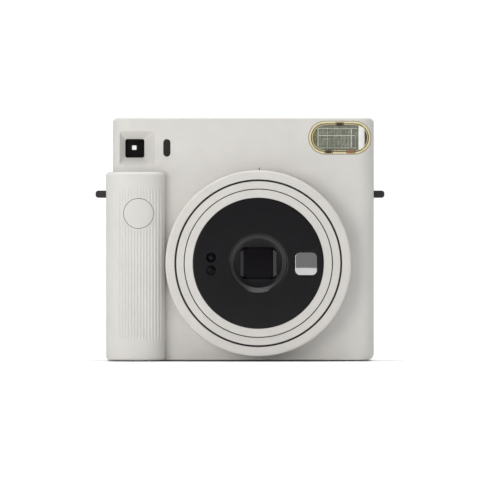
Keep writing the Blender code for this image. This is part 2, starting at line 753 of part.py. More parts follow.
def around_lens(outline):
    return [(LENS_X + a, LENS_Z + b) for a, b in outline]


def make_lens_barrel():
    origin = (LENS_X, LENS_FRONT, LENS_Z)
    profile = [
        (DISC_RADIUS + 0.25, LENS_FRONT), (BARREL_RADIUS - 0.3, LENS_FRONT),
        (BARREL_RADIUS, LENS_FRONT + 0.3),
        (BARREL_RADIUS, BARREL_BACK), (33.8, BARREL_BACK), (33.8, LENS_FRONT + 3.0),
        (DISC_RADIUS + 0.25, LENS_FRONT + 3.0),
    ]
    lens_turned("lens_barrel", profile, "ring", origin=origin)


def make_front_disc():
    floor = DISC_FACE + DISH_DEPTH
    back = DISC_FACE + 1.9
    profile = [
        (0.0, floor), (DISH_FLOOR_RADIUS, floor), (DISH_RADIUS, DISC_FACE), (DISC_RADIUS, DISC_FACE),
        (DISC_RADIUS, back), (17.0, back), (17.0, floor + 4.0), (0.0, floor + 4.0),
    ]
    disc = lens_turned("front_disc", profile, "black_gloss")
    well = around_lens(rounded_rectangle(*LENS_WELL, 2.2))
    cut(disc, prism("lens_well", well, DISC_FACE - 1, floor + 5, "Y"))
    for number, (across, up) in enumerate(SENSOR_EYES):
        centre = (LENS_X + across, LENS_Z + up)
        cut(disc, cylinder(f"eye_hole_{number}", 2.5, centre, DISC_FACE - 1, back + 1, "Y", 24))
    cut(disc, prism("mirror_recess", mirror_outline(GAP), DISC_FACE - 1, DISC_FACE + 1.3, "Y"))
    return disc


def mirror_outline(grow):
    half_width = MIRROR_SIZE[0] / 2 + grow
    half_height = MIRROR_SIZE[1] / 2 + grow
    across, up = MIRROR_AT
    return around_lens(rounded_rectangle(
        across - half_width, up - half_height, across + half_width, up + half_height, 2.3,
    ))


def make_lens_fittings():
    prism("selfie_mirror", mirror_outline(0.0), DISC_FACE + 0.1, DISC_FACE + 1.0, "Y", "mirror")
    for name, (across, up) in zip(("sensor_eye_upper", "sensor_eye_lower"), SENSOR_EYES):
        centre = (LENS_X + across, LENS_Z + up)
        cylinder(name, 2.2, centre, DISC_FACE + 0.2, DISC_FACE + 1.6, "Y", 24, "smoke")
    floor = DISC_FACE + DISH_DEPTH
    a, b, c, d = LENS_WELL
    window = around_lens(rounded_rectangle(a + GAP, b + GAP, c - GAP, d - GAP, 1.9))
    prism("lens_window", window, floor + 2.4, floor + 3.6, "Y", "smoke")
    middle = floor + 7.3
    profile = [
        (0.0, middle - 2.2), (3.0, middle - 1.95), (5.5, middle - 1.2), (7.3, middle - 0.4),
        (7.3, middle + 0.4), (5.5, middle + 0.9), (3.0, middle + 1.3), (0.0, middle + 1.45),
    ]
    lens_turned("taking_lens", profile, "clear", steps=32)


def make_shutter():
    """A plate behind the lens with a round opening, and two thin blades on pins behind it."""
    profile = [
        (6.0, PLATE_FRONT), (33.5, PLATE_FRONT), (33.5, PLATE_FRONT + 1.2), (6.0, PLATE_FRONT + 1.2),
    ]
    plate = lens_turned("shutter_plate", profile, "black_matte", steps=48)
    for side, name in ((-1, "shutter_blade_left"), (1, "shutter_blade_right")):
        pivot = (LENS_X + side * BLADE_PIVOT, LENS_Z + BLADE_PIVOT * 0.6)
        pin = cylinder(f"{name}_pin", 0.8, pivot, PLATE_FRONT + 0.6, PLATE_FRONT + 3.4, "Y", 12)
        join(plate, pin)
        low = PLATE_FRONT + 1.5 + (0.7 if side > 0 else 0.0)
        blade_shape(name, side, pivot, low)


def blade_shape(name, side, pivot, low):
    """A leaf with a small eye round the pin and a broad end that covers the opening."""
    toward = atan2(LENS_Z - pivot[1], LENS_X - pivot[0])
    reach = hypot(LENS_X - pivot[0], LENS_Z - pivot[1])
    spread = degrees(acos(min((6.9 - 2.4) / reach, 1.0)))
    heading = degrees(toward)
    big = arc((LENS_X, LENS_Z), 6.9, heading - (180 - spread), heading + (180 - spread), 14)
    small = arc(pivot, 2.4, heading + (180 - spread), heading + (180 + spread), 8)
    blade = prism(name, big + small, low, low + 0.4, "Y", "steel", (pivot[0], low, pivot[1]))
    cut(blade, cylinder(f"{name}_eye", 1.05, pivot, low - 1, low + 1.4, "Y", 12))


def make_light_baffle():
    def square(half):
        return around_lens(rounded_rectangle(-half, -half, half, half, 1.5, steps=1))

    front = -8.6
    back = CHASSIS_FRONT - GAP
    half_front = 16.0
    half_back = PICTURE_SIZE / 2 + 2.0
    wall = 1.2
    baffle = prism(
        "light_baffle", square(half_front), front, back, "Y", "black_matte", taper=square(half_back),
    )
    rate = (half_back - half_front) / (back - front)
    extra = 0.5
    cut(baffle, prism(
        "baffle_hollow", square(half_front - wall - extra * rate), front - extra, back + extra, "Y",
        taper=square(half_back - wall + extra * rate),
    ))


# ---- the shutter button ----------------------------------------------------------------------
def make_shutter_button():
    """A cap cut from the grip's own surface, with a flange that keeps it in its hole."""
    inner_face = GRIP_FRONT + WALL + 3.2
    centre = (BUTTON_X, BUTTON_Z)
    profile = [
        (0.0, GRIP_FRONT - 3.0), (BUTTON_RADIUS, GRIP_FRONT - 3.0), (BUTTON_RADIUS, inner_face),
        (8.6, inner_face), (8.6, inner_face + 1.0), (2.5, inner_face + 1.0), (2.5, inner_face + 4.6),
        (0.0, inner_face + 4.6),
    ]
    origin = (BUTTON_X, GRIP_FRONT, BUTTON_Z)
    button = turned("shutter_button", profile, centre, "Y", 36, "shell", origin)
    keep_inside(button, prism("button_skin", grip_outline(0.0), BASE, GRIP_TOP, "Z"))
    switch_face = inner_face + 4.6 + BUTTON_TRAVEL + GAP
    switch = box(
        "shutter_switch", (BUTTON_X - 3.5, switch_face, BUTTON_Z - 3.5),
        (BUTTON_X + 3.5, switch_face + 3.2, BUTTON_Z + 3.5), "black_matte",
    )
    join(switch, box(
        "switch_board", (BUTTON_X - 8.0, switch_face + 3.0, BUTTON_Z - 9.0),
        (BUTTON_X + 8.0, switch_face + 4.2, BUTTON_Z + 9.0),
    ))


# ---- the film chamber, the rollers and the gears ---------------------------------------------------


def idler_centre():
    """Where a gear meshes with both the front roller's gear and the motor's pinion."""
    start = Vector((ROLLER_FRONT_Y, ROLLER_Z))
    end = Vector((MOTOR_Y, MOTOR_Z))
    span = (end - start).length
    to_roller = ROLLER_PITCH + IDLER_PITCH
    to_pinion = PINION_PITCH + IDLER_PITCH
    along = (to_roller**2 - to_pinion**2 + span**2) / (2 * span)
    aside = sqrt(to_roller**2 - along**2)
    forward = (end - start).normalized()
    sideways = Vector((-forward.y, forward.x))
    return start + forward * along + sideways * aside


def gear_outline(centre, teeth, turn):
    """Straight-sided teeth; turn is the angle of one tooth's middle, in degrees."""
    pitch = GEAR_MODULE * teeth / 2
    root = pitch - 0.85
    tip = pitch + 0.5
    step = 360 / teeth
    points = []
    for tooth in range(teeth):
        middle = turn + tooth * step
        for radius, share in ((root, -0.26), (tip, -0.11), (tip, 0.11), (root, 0.26)):
            angle = radians(middle + share * step)
            points.append((centre[0] + radius * cos(angle), centre[1] + radius * sin(angle)))
    return points


def meshing_turn(driver, driver_teeth, driver_turn, driven, driven_teeth):
    """The turn of the driven gear that puts a gap opposite the driver's tooth."""
    heading = degrees(atan2(driven[1] - driver[1], driven[0] - driver[0]))
    phase = driver_teeth * (heading - driver_turn) / 360
    return heading + 180 - (0.5 - phase) * 360 / driven_teeth


def make_gear(name, centre, teeth, turn, bore, material="white_plastic"):
    origin = (GEAR_LEFT, centre[0], centre[1])
    gear = prism(name, gear_outline(centre, teeth, turn), GEAR_LEFT, GEAR_RIGHT, "X", material, origin)
    cut(gear, cylinder(f"{name}_bore", bore, centre, GEAR_LEFT - 1, GEAR_RIGHT + 1, "X", 16))
    return gear


def make_roller(name, y):
    shaft_left = CHASSIS_LEFT + 0.2
    face_left = CHASSIS_LEFT + CHASSIS_WALL + 0.4
    face_right = CHASSIS_RIGHT - CHASSIS_WALL - 0.4
    profile = [
        (0.0, shaft_left), (SHAFT_RADIUS, shaft_left), (SHAFT_RADIUS, face_left), (ROLLER_RADIUS, face_left),
        (ROLLER_RADIUS, face_right), (SHAFT_RADIUS, face_right), (SHAFT_RADIUS, GEAR_RIGHT + 0.3),
        (0.0, GEAR_RIGHT + 0.3),
    ]
    turned(name, profile, (y, ROLLER_Z), "X", 24, "steel", (LENS_X, y, ROLLER_Z))


def make_drive():
    make_roller("roller_front", ROLLER_FRONT_Y)
    make_roller("roller_rear", ROLLER_REAR_Y)
    front = (ROLLER_FRONT_Y, ROLLER_Z)
    rear = (ROLLER_REAR_Y, ROLLER_Z)
    idler = tuple(idler_centre())
    motor = (MOTOR_Y, MOTOR_Z)
    bore = SHAFT_RADIUS + 0.15
    make_gear("roller_gear_front", front, ROLLER_TEETH, 0.0, bore)
    rear_turn = meshing_turn(front, ROLLER_TEETH, 0.0, rear, ROLLER_TEETH)
    make_gear("roller_gear_rear", rear, ROLLER_TEETH, rear_turn, bore)
    idler_turn = meshing_turn(front, ROLLER_TEETH, 0.0, idler, IDLER_TEETH)
    gear = prism(
        "idler_gear", gear_outline(idler, IDLER_TEETH, idler_turn), GEAR_LEFT, GEAR_RIGHT, "X",
        "white_plastic", (GEAR_LEFT, *idler),
    )
    join(gear, cylinder("idler_stub", 1.2, idler, CHASSIS_RIGHT - 1.5, GEAR_LEFT + 1.0, "X", 12))
    pinion_turn = meshing_turn(idler, IDLER_TEETH, idler_turn, motor, PINION_TEETH)
    make_gear("motor_pinion", motor, PINION_TEETH, pinion_turn, 0.95, "steel")
    profile = [
        (0.0, CHASSIS_RIGHT - 25.0), (MOTOR_RADIUS, CHASSIS_RIGHT - 25.0),
        (MOTOR_RADIUS, CHASSIS_RIGHT - 3.0),
        (2.4, CHASSIS_RIGHT - 3.0), (2.4, CHASSIS_RIGHT - 2.0), (0.8, CHASSIS_RIGHT - 2.0),
        (0.8, GEAR_RIGHT + 0.3), (0.0, GEAR_RIGHT + 0.3),
    ]
    turned("motor", profile, motor, "X", 24, "steel")


def make_chassis():
    """A tray open at the back for the film pack, with ears at the top that carry the rollers."""
    chassis = box(
        "chassis", (CHASSIS_LEFT, CHASSIS_FRONT, CHASSIS_BOTTOM), (CHASSIS_RIGHT, CHASSIS_BACK, CHASSIS_TOP),
        "black_matte",
    )
    for name, low_x in (("ear_left", CHASSIS_LEFT), ("ear_right", CHASSIS_RIGHT - CHASSIS_WALL)):
        join(chassis, box(
            name, (low_x, ROLLER_FRONT_Y - 4.2, CHASSIS_TOP - 12.0),
            (low_x + CHASSIS_WALL, ROLLER_REAR_Y + 4.2, ROLLER_Z + 5.0),
        ))
    cut(chassis, box(
        "chamber",
        (CHASSIS_LEFT + CHASSIS_WALL, CHASSIS_FRONT + CHASSIS_WALL, CHASSIS_BOTTOM + CHASSIS_WALL),
        (CHASSIS_RIGHT - CHASSIS_WALL, CHASSIS_BACK + 1, CHASSIS_TOP - CHASSIS_WALL),
    ))
    half = PICTURE_SIZE / 2 + 1.0
    cut(chassis, box(
        "picture_opening", (LENS_X - half, CHASSIS_FRONT - 1, LENS_Z - half),
        (LENS_X + half, CHASSIS_FRONT + 3, LENS_Z + half),
    ))
    cut(chassis, box(
        "film_exit", (LENS_X - FILM_WIDTH / 2 - 0.8, FILM_Y - 1.2, CHASSIS_TOP - 3),
        (LENS_X + FILM_WIDTH / 2 + 0.8, FILM_Y + 1.6, CHASSIS_TOP + 1),
    ))
    for name, y in (("front_bearing", ROLLER_FRONT_Y), ("rear_bearing", ROLLER_REAR_Y)):
        cut(chassis, cylinder(
            name, SHAFT_RADIUS + 0.15, (y, ROLLER_Z), CHASSIS_LEFT - 1, CHASSIS_RIGHT + 1, "X", 16,
        ))
    cut(chassis, cylinder(
        "idler_bearing", 1.4, tuple(idler_centre()), CHASSIS_RIGHT - CHASSIS_WALL, CHASSIS_RIGHT + 1, "X", 16,
    ))
    cut(chassis, box(
        "claw_slot", (CHASSIS_LEFT - 1, CLAW_LOW_Y - 0.4, CLAW_Z - 0.6),
        (CHASSIS_LEFT + 3, CLAW_HIGH_Y + 0.4, CLAW_Z + 3.1 + CLAW_TRAVEL),
    ))
    return chassis


def make_pick_claw():
    """The strip beside the film chamber that lifts a sheet into the rollers."""
    right = CHASSIS_LEFT - 0.3
    claw = box(
        "pick_claw", (right - 1.2, CLAW_LOW_Y, CLAW_Z), (right, CLAW_HIGH_Y, 90.0), "steel",
        (right, FILM_Y, CLAW_Z),
    )
    join(claw, box(
        "claw_hook",
        (right - 0.6, CLAW_LOW_Y, CLAW_Z),
        (CHASSIS_LEFT + CHASSIS_WALL - 0.2, CLAW_HIGH_Y, CLAW_Z + 2.4),
    ))


def make_film():
    half = PACK_WIDTH / 2
    pack_front = CHASSIS_FRONT + CHASSIS_WALL + 2.5
    wall = 1.2
    pack = box(
        "film_pack",
        (LENS_X - half, pack_front, PACK_BOTTOM),
        (LENS_X + half, PACK_BACK, PACK_TOP),
        "black_matte",
    )
    cut(pack, box(
        "pack_hollow", (LENS_X - half + wall, pack_front + wall, PACK_BOTTOM + wall),
        (LENS_X + half - wall, PACK_BACK - wall, PACK_TOP - wall),
    ))
    window = PICTURE_SIZE / 2
    cut(pack, box(
        "pack_window", (LENS_X - window, pack_front - 1, LENS_Z - window),
        (LENS_X + window, pack_front + 2, LENS_Z + window),
    ))
    cut(pack, box(
        "pack_slot", (LENS_X - FILM_WIDTH / 2 - 0.6, pack_front + wall, PACK_TOP - 2),
        (LENS_X + FILM_WIDTH / 2 + 0.6, pack_front + wall + 1.5, PACK_TOP + 1),
    ))
    stack_front = pack_front + wall + GAP
    box(
        "film_stack", (LENS_X - FILM_WIDTH / 2, stack_front, PACK_BOTTOM + wall + GAP),
        (LENS_X + FILM_WIDTH / 2, stack_front + 5.0, PACK_BOTTOM + wall + GAP + FILM_HEIGHT), "film",
    )


def make_exit_flap():
    """The sprung shutter over the slot the picture leaves by."""
    x_low = LENS_X - FILM_WIDTH / 2 - 1.7 + GAP
    x_high = LENS_X + FILM_WIDTH / 2 + 1.7 - GAP
    front = FILM_Y - 1.8 + GAP
    leaf = [(front, FLAP_Z - 0.4), (FLAP_Y, FLAP_Z - 0.6)]
    leaf += arc((FLAP_Y, FLAP_Z), 0.6, -60, 60, 6)
    leaf += [(FLAP_Y, FLAP_Z + 0.6), (front, FLAP_Z + 0.4)]
    flap = prism("exit_flap", leaf, x_low, x_high, "X", "black_matte", (LENS_X, FLAP_Y, FLAP_Z))
    join(flap, cylinder("flap_pivots", 0.35, (FLAP_Y, FLAP_Z), x_low - 1.2, x_high + 1.2, "X", 12))


# ---- power -------------------------------------------------------------------------------------


def make_batteries():
    for number, name in enumerate(("battery_lower", "battery_upper")):
        low = BATTERY_BOTTOM + number * (BATTERY_LENGTH + GAP)
        high = low + BATTERY_LENGTH
        profile = [
            (0.0, low), (BATTERY_RADIUS, low), (BATTERY_RADIUS, high - 1.0), (3.0, high - 1.0),
            (3.0, high), (0.0, high),
        ]
        turned(name, profile, (BATTERY_X, BATTERY_Y), "Z", 28, "foil")
    left = GRIP_LEFT + WALL + 0.6
    holder = box("battery_holder", (left, 4.9, 5.6), (-45.2, 23.1, 66.2), "black_matte")
    cut(holder, box("battery_hollow", (left - 1, 5.9, 7.4), (-46.8, 22.1, 64.5)))
    low_contact = 7.4 + GAP
    high_contact = 64.5 - GAP - 0.4
    for name, z in (("battery_contact_bottom", low_contact), ("battery_contact_top", high_contact)):
        box(name, (BATTERY_X - 6.0, BATTERY_Y - 5.0, z), (BATTERY_X + 6.0, BATTERY_Y + 5.0, z + 0.4), "steel")


def make_battery_cover():
    x = GRIP_LEFT + 1.0
    outline = [(x + 1.0, COVER_LOW_Y), (x + 1.0, COVER_HINGE_Y)]
    outline += arc((x, COVER_HINGE_Y), 1.0, 0, 180, 8)[1:]
    outline += [(x - 1.0, COVER_LOW_Y)]
    cover = prism(
        "battery_cover", outline, COVER_LOW_Z, COVER_HIGH_Z, "Z", "shell", (x, COVER_HINGE_Y, COVER_LOW_Z),
    )
    join(cover, cylinder(
        "battery_cover_pivots", 0.42, (x, COVER_HINGE_Y), COVER_LOW_Z - 1.2, COVER_HIGH_Z + 1.2, "Z", 12,
    ))


def make_circuit_board():
    board = box("circuit_board", (56.0, -9.5, 8.0), (57.4, 20.0, 86.0), "board")
    chips = ((-2.0, 30.0, 4.0, 4.0), (8.0, 55.0, 5.0, 5.0), (5.0, 75.0, 3.0, 5.0))
    for number, (y, z, half_y, half_z) in enumerate(chips):
        join(board, box(
            f"chip_{number}", (57.0, y - half_y, z - half_z), (58.6, y + half_y, z + half_z),
        ))


# ---- fittings on the outside ---------------------------------------------------------------------


def foot_pocket(name, x, y):
    return cylinder(f"{name}_pocket", FOOT_RADIUS + 0.2, (x, y), BASE - 1.0, BASE + FOOT_POCKET, "Z", 28)


def make_feet():
    for name, x, y in FEET:
        cylinder(name, FOOT_RADIUS, (x, y), 0.0, BASE + FOOT_POCKET - 0.1, "Z", 28, "rubber")


def make_screws():
    for name, x, y in SCREWS:
        profile = [(0.0, 0.8), (2.1, 0.8), (2.1, 1.5), (1.0, 1.5), (1.0, 5.5), (0.0, 5.5)]
        screw = turned(name, profile, (x, y), "Z", 20, "steel")
        for arm, (half_x, half_y) in enumerate(((1.3, 0.25), (0.25, 1.3))):
            cut(screw, box(
                f"{name}_cross_{arm}", (x - half_x, y - half_y, 0.0), (x + half_x, y + half_y, 1.2),
            ))


def lug_wall(side):
    """The outer face of the side wall a lug stands on."""
    return RIGHT if side > 0 else GRIP_LEFT


def lug_slot(side):
    wall = lug_wall(side)
    low = min(wall + side, wall - side * 4.0)
    high = max(wall + side, wall - side * 4.0)
    half_height = LUG_HEIGHT / 2 + 0.2
    return box(
        f"lug_slot_{'right' if side > 0 else 'left'}",
        (low, LUG_Y - 3.7, LUG_Z - half_height), (high, LUG_Y + 3.7, LUG_Z + half_height),
    )


def make_strap_lug(name, side):
    """A flat loop that stands out of the side wall, held by a wider foot inside it."""
    wall = lug_wall(side)

    def at(distance, y):
        return (wall + side * distance, LUG_Y + y)

    inside = WALL + 0.3
    loop = [at(LUG_REACH - 3.4 + 3.4 * cos(radians(a)), 4.4 * sin(radians(a))) for a in range(-90, 91, 15)]
    outline = [
        at(-inside - 1.2, -5.5), at(-inside, -5.5), at(-inside, -3.4), at(0.3, -3.4), at(0.3, -4.4),
    ] + loop + [
        at(0.3, 4.4), at(0.3, 3.4), at(-inside, 3.4), at(-inside, 5.5), at(-inside - 1.2, 5.5),
    ]
    low = LUG_Z - LUG_HEIGHT / 2
    high = LUG_Z + LUG_HEIGHT / 2
    lug = prism(name, outline, low, high, "Z", "black_matte")
    hole = [at(LUG_REACH - 3.0 + 1.5 * cos(radians(a)), 2.9 * sin(radians(a))) for a in range(-90, 91, 15)]
    hole += [at(1.2, 2.9), at(1.2, -2.9)]
    cut(lug, prism(f"{name}_hole", hole, low - 1, high + 1, "Z"))


def build():
    make_front_cover()
    make_rear_cover()
    make_film_door()
    make_door_fittings()
    make_viewfinder()
    make_counter()
    make_sensor_window()
    make_flash()
    make_lens_ring()
    make_lens_band()
    make_lens_barrel()
    make_front_disc()
    make_lens_fittings()
    make_shutter()
    make_light_baffle()
    make_shutter_button()
    make_drive()
    make_chassis()
    make_pick_claw()
    make_film()
    make_exit_flap()
    make_batteries()
    make_battery_cover()
    make_circuit_board()
    make_feet()
    make_screws()
    make_strap_lug("strap_lug_left", -1)
    make_strap_lug("strap_lug_right", 1)


build()
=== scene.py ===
"""Looks for the square-format instant camera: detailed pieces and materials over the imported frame.

Units are metres. The front faces -Y, +X is the right of someone looking at the front, +Z is up.
"""

import json
from math import asin, cos, degrees, hypot, pi, radians, sin, sqrt

import bmesh
import bpy
from mathutils import Matrix, Vector

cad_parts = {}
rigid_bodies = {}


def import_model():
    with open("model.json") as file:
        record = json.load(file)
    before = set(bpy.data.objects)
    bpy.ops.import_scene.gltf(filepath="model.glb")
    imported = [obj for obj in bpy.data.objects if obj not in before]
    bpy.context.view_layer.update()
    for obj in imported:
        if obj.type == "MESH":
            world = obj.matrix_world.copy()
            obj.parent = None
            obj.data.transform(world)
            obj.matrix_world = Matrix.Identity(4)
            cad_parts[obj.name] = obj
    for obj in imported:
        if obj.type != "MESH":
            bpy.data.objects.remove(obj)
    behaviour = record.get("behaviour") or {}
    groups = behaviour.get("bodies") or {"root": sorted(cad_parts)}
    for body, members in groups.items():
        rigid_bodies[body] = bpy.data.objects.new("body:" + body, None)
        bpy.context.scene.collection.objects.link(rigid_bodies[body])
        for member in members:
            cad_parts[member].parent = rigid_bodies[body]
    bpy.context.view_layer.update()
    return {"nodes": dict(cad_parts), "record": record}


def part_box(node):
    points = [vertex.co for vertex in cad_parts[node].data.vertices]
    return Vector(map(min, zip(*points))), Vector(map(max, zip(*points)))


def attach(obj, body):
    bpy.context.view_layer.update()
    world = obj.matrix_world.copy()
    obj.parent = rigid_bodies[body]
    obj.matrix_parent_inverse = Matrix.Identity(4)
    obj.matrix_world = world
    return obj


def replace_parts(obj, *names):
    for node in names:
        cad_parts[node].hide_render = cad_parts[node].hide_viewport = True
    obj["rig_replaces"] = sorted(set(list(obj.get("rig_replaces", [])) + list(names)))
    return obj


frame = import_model()

MM = 0.001
GAP = 0.3 * MM
OVERSHOOT = 1.0 * MM


class Place:
    """Where a CAD node is: its lowest and highest corner, its middle and its size."""

    def __init__(self, node):
        self.low, self.high = (Vector(corner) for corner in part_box(node))
        self.middle = (self.low + self.high) / 2
        self.size = self.high - self.low


# ---- places read from the frame --------------------------------------------------------------
COVER = Place("front_cover")
REAR = Place("rear_cover")
RING = Place("lens_ring")
BARREL = Place("lens_barrel")
BAND = Place("lens_band")
DISC = Place("front_disc")
DOOR = Place("film_door")
BUTTON = Place("shutter_button")
FLASH = Place("flash_window")
FLASH_PANE = Place("flash_lens")
PILL = Place("sensor_window")
FINDER = Place("viewfinder_glass")
EYEPIECE = Place("eyepiece_frame")
MIRROR = Place("selfie_mirror")
LENS_GLASS = Place("lens_window")
EYES = (Place("sensor_eye_upper"), Place("sensor_eye_lower"))
FLAP = Place("exit_flap")
LATCH = Place("door_latch")
FILM_WINDOW = Place("film_window")
COUNTER = Place("counter_window")
DIAL = Place("counter_dial")
POWER_COVER = Place("battery_cover")
HINGE_PIN = Place("hinge_pin")
TUNNEL = Place("viewfinder_tunnel")
LUGS = {name: Place(name) for name in ("strap_lug_left", "strap_lug_right")}
FEET = {
    name: Place(name)
    for name in ("foot_front_left", "foot_front_right", "foot_back_left", "foot_back_right")
}
SCREWS = {name: Place(name) for name in ("body_screw_left", "body_screw_right")}
SLOT_OF = {part["node"]: part["material_slot"] for part in frame["record"]["subparts"]}

# ---- the body --------------------------------------------------------------------------------
RIGHT = COVER.high.x
GRIP_LEFT = COVER.low.x
LEFT = GRIP_LEFT + 3.25 * MM
TOP = COVER.high.z
BASE = COVER.low.z
FRONT = RING.high.y + GAP
BACK = REAR.high.y
WALL = 2.0 * MM
FRONT_LEFT_RADIUS = 10.0 * MM
FRONT_RIGHT_RADIUS = 8.0 * MM
BACK_LEFT_RADIUS = 3.0 * MM
HINGE_RADIUS = 2.25 * MM
FOOT_CORNER_RADIUS = 3.2 * MM
CROWN_CORNER_RADIUS = 2.2 * MM
EDGE_RADIUS = 0.7 * MM
CORNER_STEPS = 20
RIM_STEPS = 5

# ---- the grip --------------------------------------------------------------------------------
GRIP_RIGHT = RING.low.x
GRIP_FRONT = COVER.low.y
GRIP_TOP = BASE + 91.8 * MM
GRIP_CREST_X = (GRIP_LEFT + GRIP_RIGHT) / 2
GRIP_HALF_WIDTH = (GRIP_RIGHT - GRIP_LEFT) / 2
GRIP_SIDE_Y = FRONT + 3.25 * MM
GRIP_BACK_RADIUS = 6.0 * MM
GRIP_ROUNDNESS = 2.4
GROOVE_PITCH = 1.5 * MM
GROOVE_COUNT = 15
GROOVE_FIRST_X = GRIP_LEFT + 6.95 * MM
GROOVE_BOTTOM = BASE + 9.5 * MM
GROOVE_TOP = BASE + 83.5 * MM
FLUTE_FADE = 1.6 * MM
GROOVE_DEPTH = 0.34 * MM
GRIP_EDGE_RADIUS = 1.9 * MM
GRIP_STEPS = 72

# ---- the lens --------------------------------------------------------------------------------
LENS_X = RING.middle.x
LENS_Z = RING.middle.z
RING_RADIUS = RING.size.x / 2
RING_FACE = RING.low.y
BAND_RADIUS = RING_RADIUS - 4.9 * MM
BARREL_RADIUS = BARREL.size.x / 2
DISC_RADIUS = DISC.size.x / 2
DISC_FACE = DISC.low.y
DISH_RADIUS = 14.4 * MM
DISH_FLOOR_RADIUS = 12.0 * MM
DISH_DEPTH = 2.0 * MM
OUTER_GROOVE = 0.95 * MM
INNER_GROOVE = 0.45 * MM
LENS_STEPS = 192

# ---- the flash -------------------------------------------------------------------------------
FLASH_RIM = 0.85 * MM
FLASH_BACK = FRONT + 3.9 * MM
FLASH_CORNER_RADIUS = 1.2 * MM
CLIP_HALF_HEIGHT = 0.75 * MM
COLUMN_PITCH = 1.72 * MM
ROW_PITCH = 1.45 * MM

# ---- the button, the finder and the back -------------------------------------------------------
BUTTON_RADIUS = BUTTON.size.x / 2 - 1.35 * MM
BUTTON_HOLE_RADIUS = BUTTON_RADIUS + GAP
BUTTON_CENTRE = (BUTTON.middle.x, BUTTON.middle.z)
FINDER_FLOOR = FRONT + 6.0 * MM
MOUTH = (
    FINDER.low.x - 1.9 * MM, FINDER.low.z - 3.3 * MM, FINDER.high.x + 4.5 * MM, FINDER.high.z + 2.9 * MM,
)
PEEPHOLE = 1.08 * MM
PEEPHOLE_X = TUNNEL.middle.x - 0.3 * MM
PEEPHOLE_Z = TUNNEL.middle.z + 0.4 * MM
PARTING_Y = COVER.high.y + GAP / 2
HINGE_X = HINGE_PIN.middle.x
HINGE_Y = HINGE_PIN.middle.y
PIN_BORE_RADIUS = 1.0 * MM
PANEL_MARGIN = 6.0 * MM
PANEL_HINGE_MARGIN = 8.0 * MM
PANEL_RADIUS = 5.0 * MM
PANEL_LINE = 0.8 * MM

# ---- the main colours ------------------------------------------------------------------------
SHELL_COLOUR = (0.628, 0.615, 0.590)
RING_COLOUR = (0.610, 0.593, 0.570)

# ---- the stage -------------------------------------------------------------------------------
VIEW_WIDTH = 234.0 * MM
LENS_LENGTH = 600.0
SENSOR_WIDTH = 36.0
MIRROR_SPLIT = 3.35 * MM
CAMERA_HEIGHT = 59.1 * MM
VIEW_DISTANCE = VIEW_WIDTH * LENS_LENGTH / SENSOR_WIDTH
CLIP_END = 60.0
FLOOR_HALF_WIDTH = 0.6
FLOOR_BOUNCE = (0.92, 0.92, 0.92)
FLOOR_SEEN = (0.95, 0.95, 0.95)
CARD_DISTANCE = 6.6
CARD_HALF_WIDTH = 3.0
CARD_TOP = 3.2
CARD_THICKNESS = 0.02
BACKGROUND_STRENGTH = 1.08
TABLE_GLOW = 0.75
ROOM_STRENGTH = 0.38
LIGHTS = (
    # name, place, aimed at, size, power, colour
    ("key_light", (-0.40, -0.66, 0.20), (0.0, 0.0, 0.06), 0.6, 1.55, (1.0, 0.985, 0.955)),
    ("table_light", (0.0, 0.05, 1.7), (0.0, 0.05, 0.0), 1.8, 29.0, (1.0, 1.0, 1.0)),
    ("fill_light", (-0.45, -0.75, 0.10), (0.0, 0.0, 0.02), 0.4, 1.2, (1.0, 0.99, 0.97)),
)


# ---- making meshes -----------------------------------------------------------------------------
def mesh_of(bm, name):
    bmesh.ops.recalc_face_normals(bm, faces=bm.faces)
    mesh = bpy.data.meshes.new(name)
    bm.to_mesh(mesh)
    bm.free()
    return mesh


def link(name, mesh):
    thing = bpy.data.objects.new(name, mesh)
    bpy.context.scene.collection.objects.link(thing)
    return thing


def axis_point(axis, across, up, along):
    """A world point from a flat outline's two coordinates and a distance along the axis."""
    if axis == "X":
        return Vector((along, across, up))
    if axis == "Y":
        return Vector((across, along, up))
    return Vector((across, up, along))


def box(name, low, high):
    bm = bmesh.new()
    bmesh.ops.create_cube(bm, size=1.0)
    bmesh.ops.scale(bm, vec=Vector(high) - Vector(low), verts=bm.verts)
    bmesh.ops.translate(bm, vec=(Vector(high) + Vector(low)) / 2, verts=bm.verts)
    return link(name, mesh_of(bm, name))


def loft(name, sections, axis):
    """Closed outlines at places along an axis, joined in turn and capped at both ends."""
    bm = bmesh.new()
    rings = [
        [bm.verts.new(axis_point(axis, a, b, along)) for a, b in outline]
        for along, outline in sections
    ]
    bm.faces.new(rings[0])
    bm.faces.new(rings[-1])
    for near, far in zip(rings, rings[1:]):
        for i in range(len(near)):
            j = (i + 1) % len(near)
            bm.faces.new((near[i], near[j], far[j], far[i]))
    return link(name, mesh_of(bm, name))


def prism(name, outline, low, high, axis):
    return loft(name, [(low, outline), (high, outline)], axis)


def turned(name, profile, centre, axis, steps=LENS_STEPS):
    """A profile of (radius, distance along the axis) spun about a line through the centre."""
    bm = bmesh.new()
    points = [bm.verts.new((radius, 0.0, along)) for radius, along in profile]
    for first, second in zip(points, points[1:]):
        bm.edges.new((first, second))
    if profile[0][0] > 0.0 and profile[-1][0] > 0.0:
        bm.edges.new((points[-1], points[0]))
    bmesh.ops.spin(
        bm, geom=bm.verts[:] + bm.edges[:], cent=(0, 0, 0), axis=(0, 0, 1),
        angle=2 * pi, steps=steps, use_merge=True,
    )
    bmesh.ops.remove_doubles(bm, verts=bm.verts, dist=1e-7)
    for vertex in bm.verts:
        across, up, along = vertex.co
        vertex.co = axis_point(axis, across, up, along)
    bmesh.ops.translate(bm, vec=axis_point(axis, centre[0], centre[1], 0.0), verts=bm.verts)
    return link(name, mesh_of(bm, name))


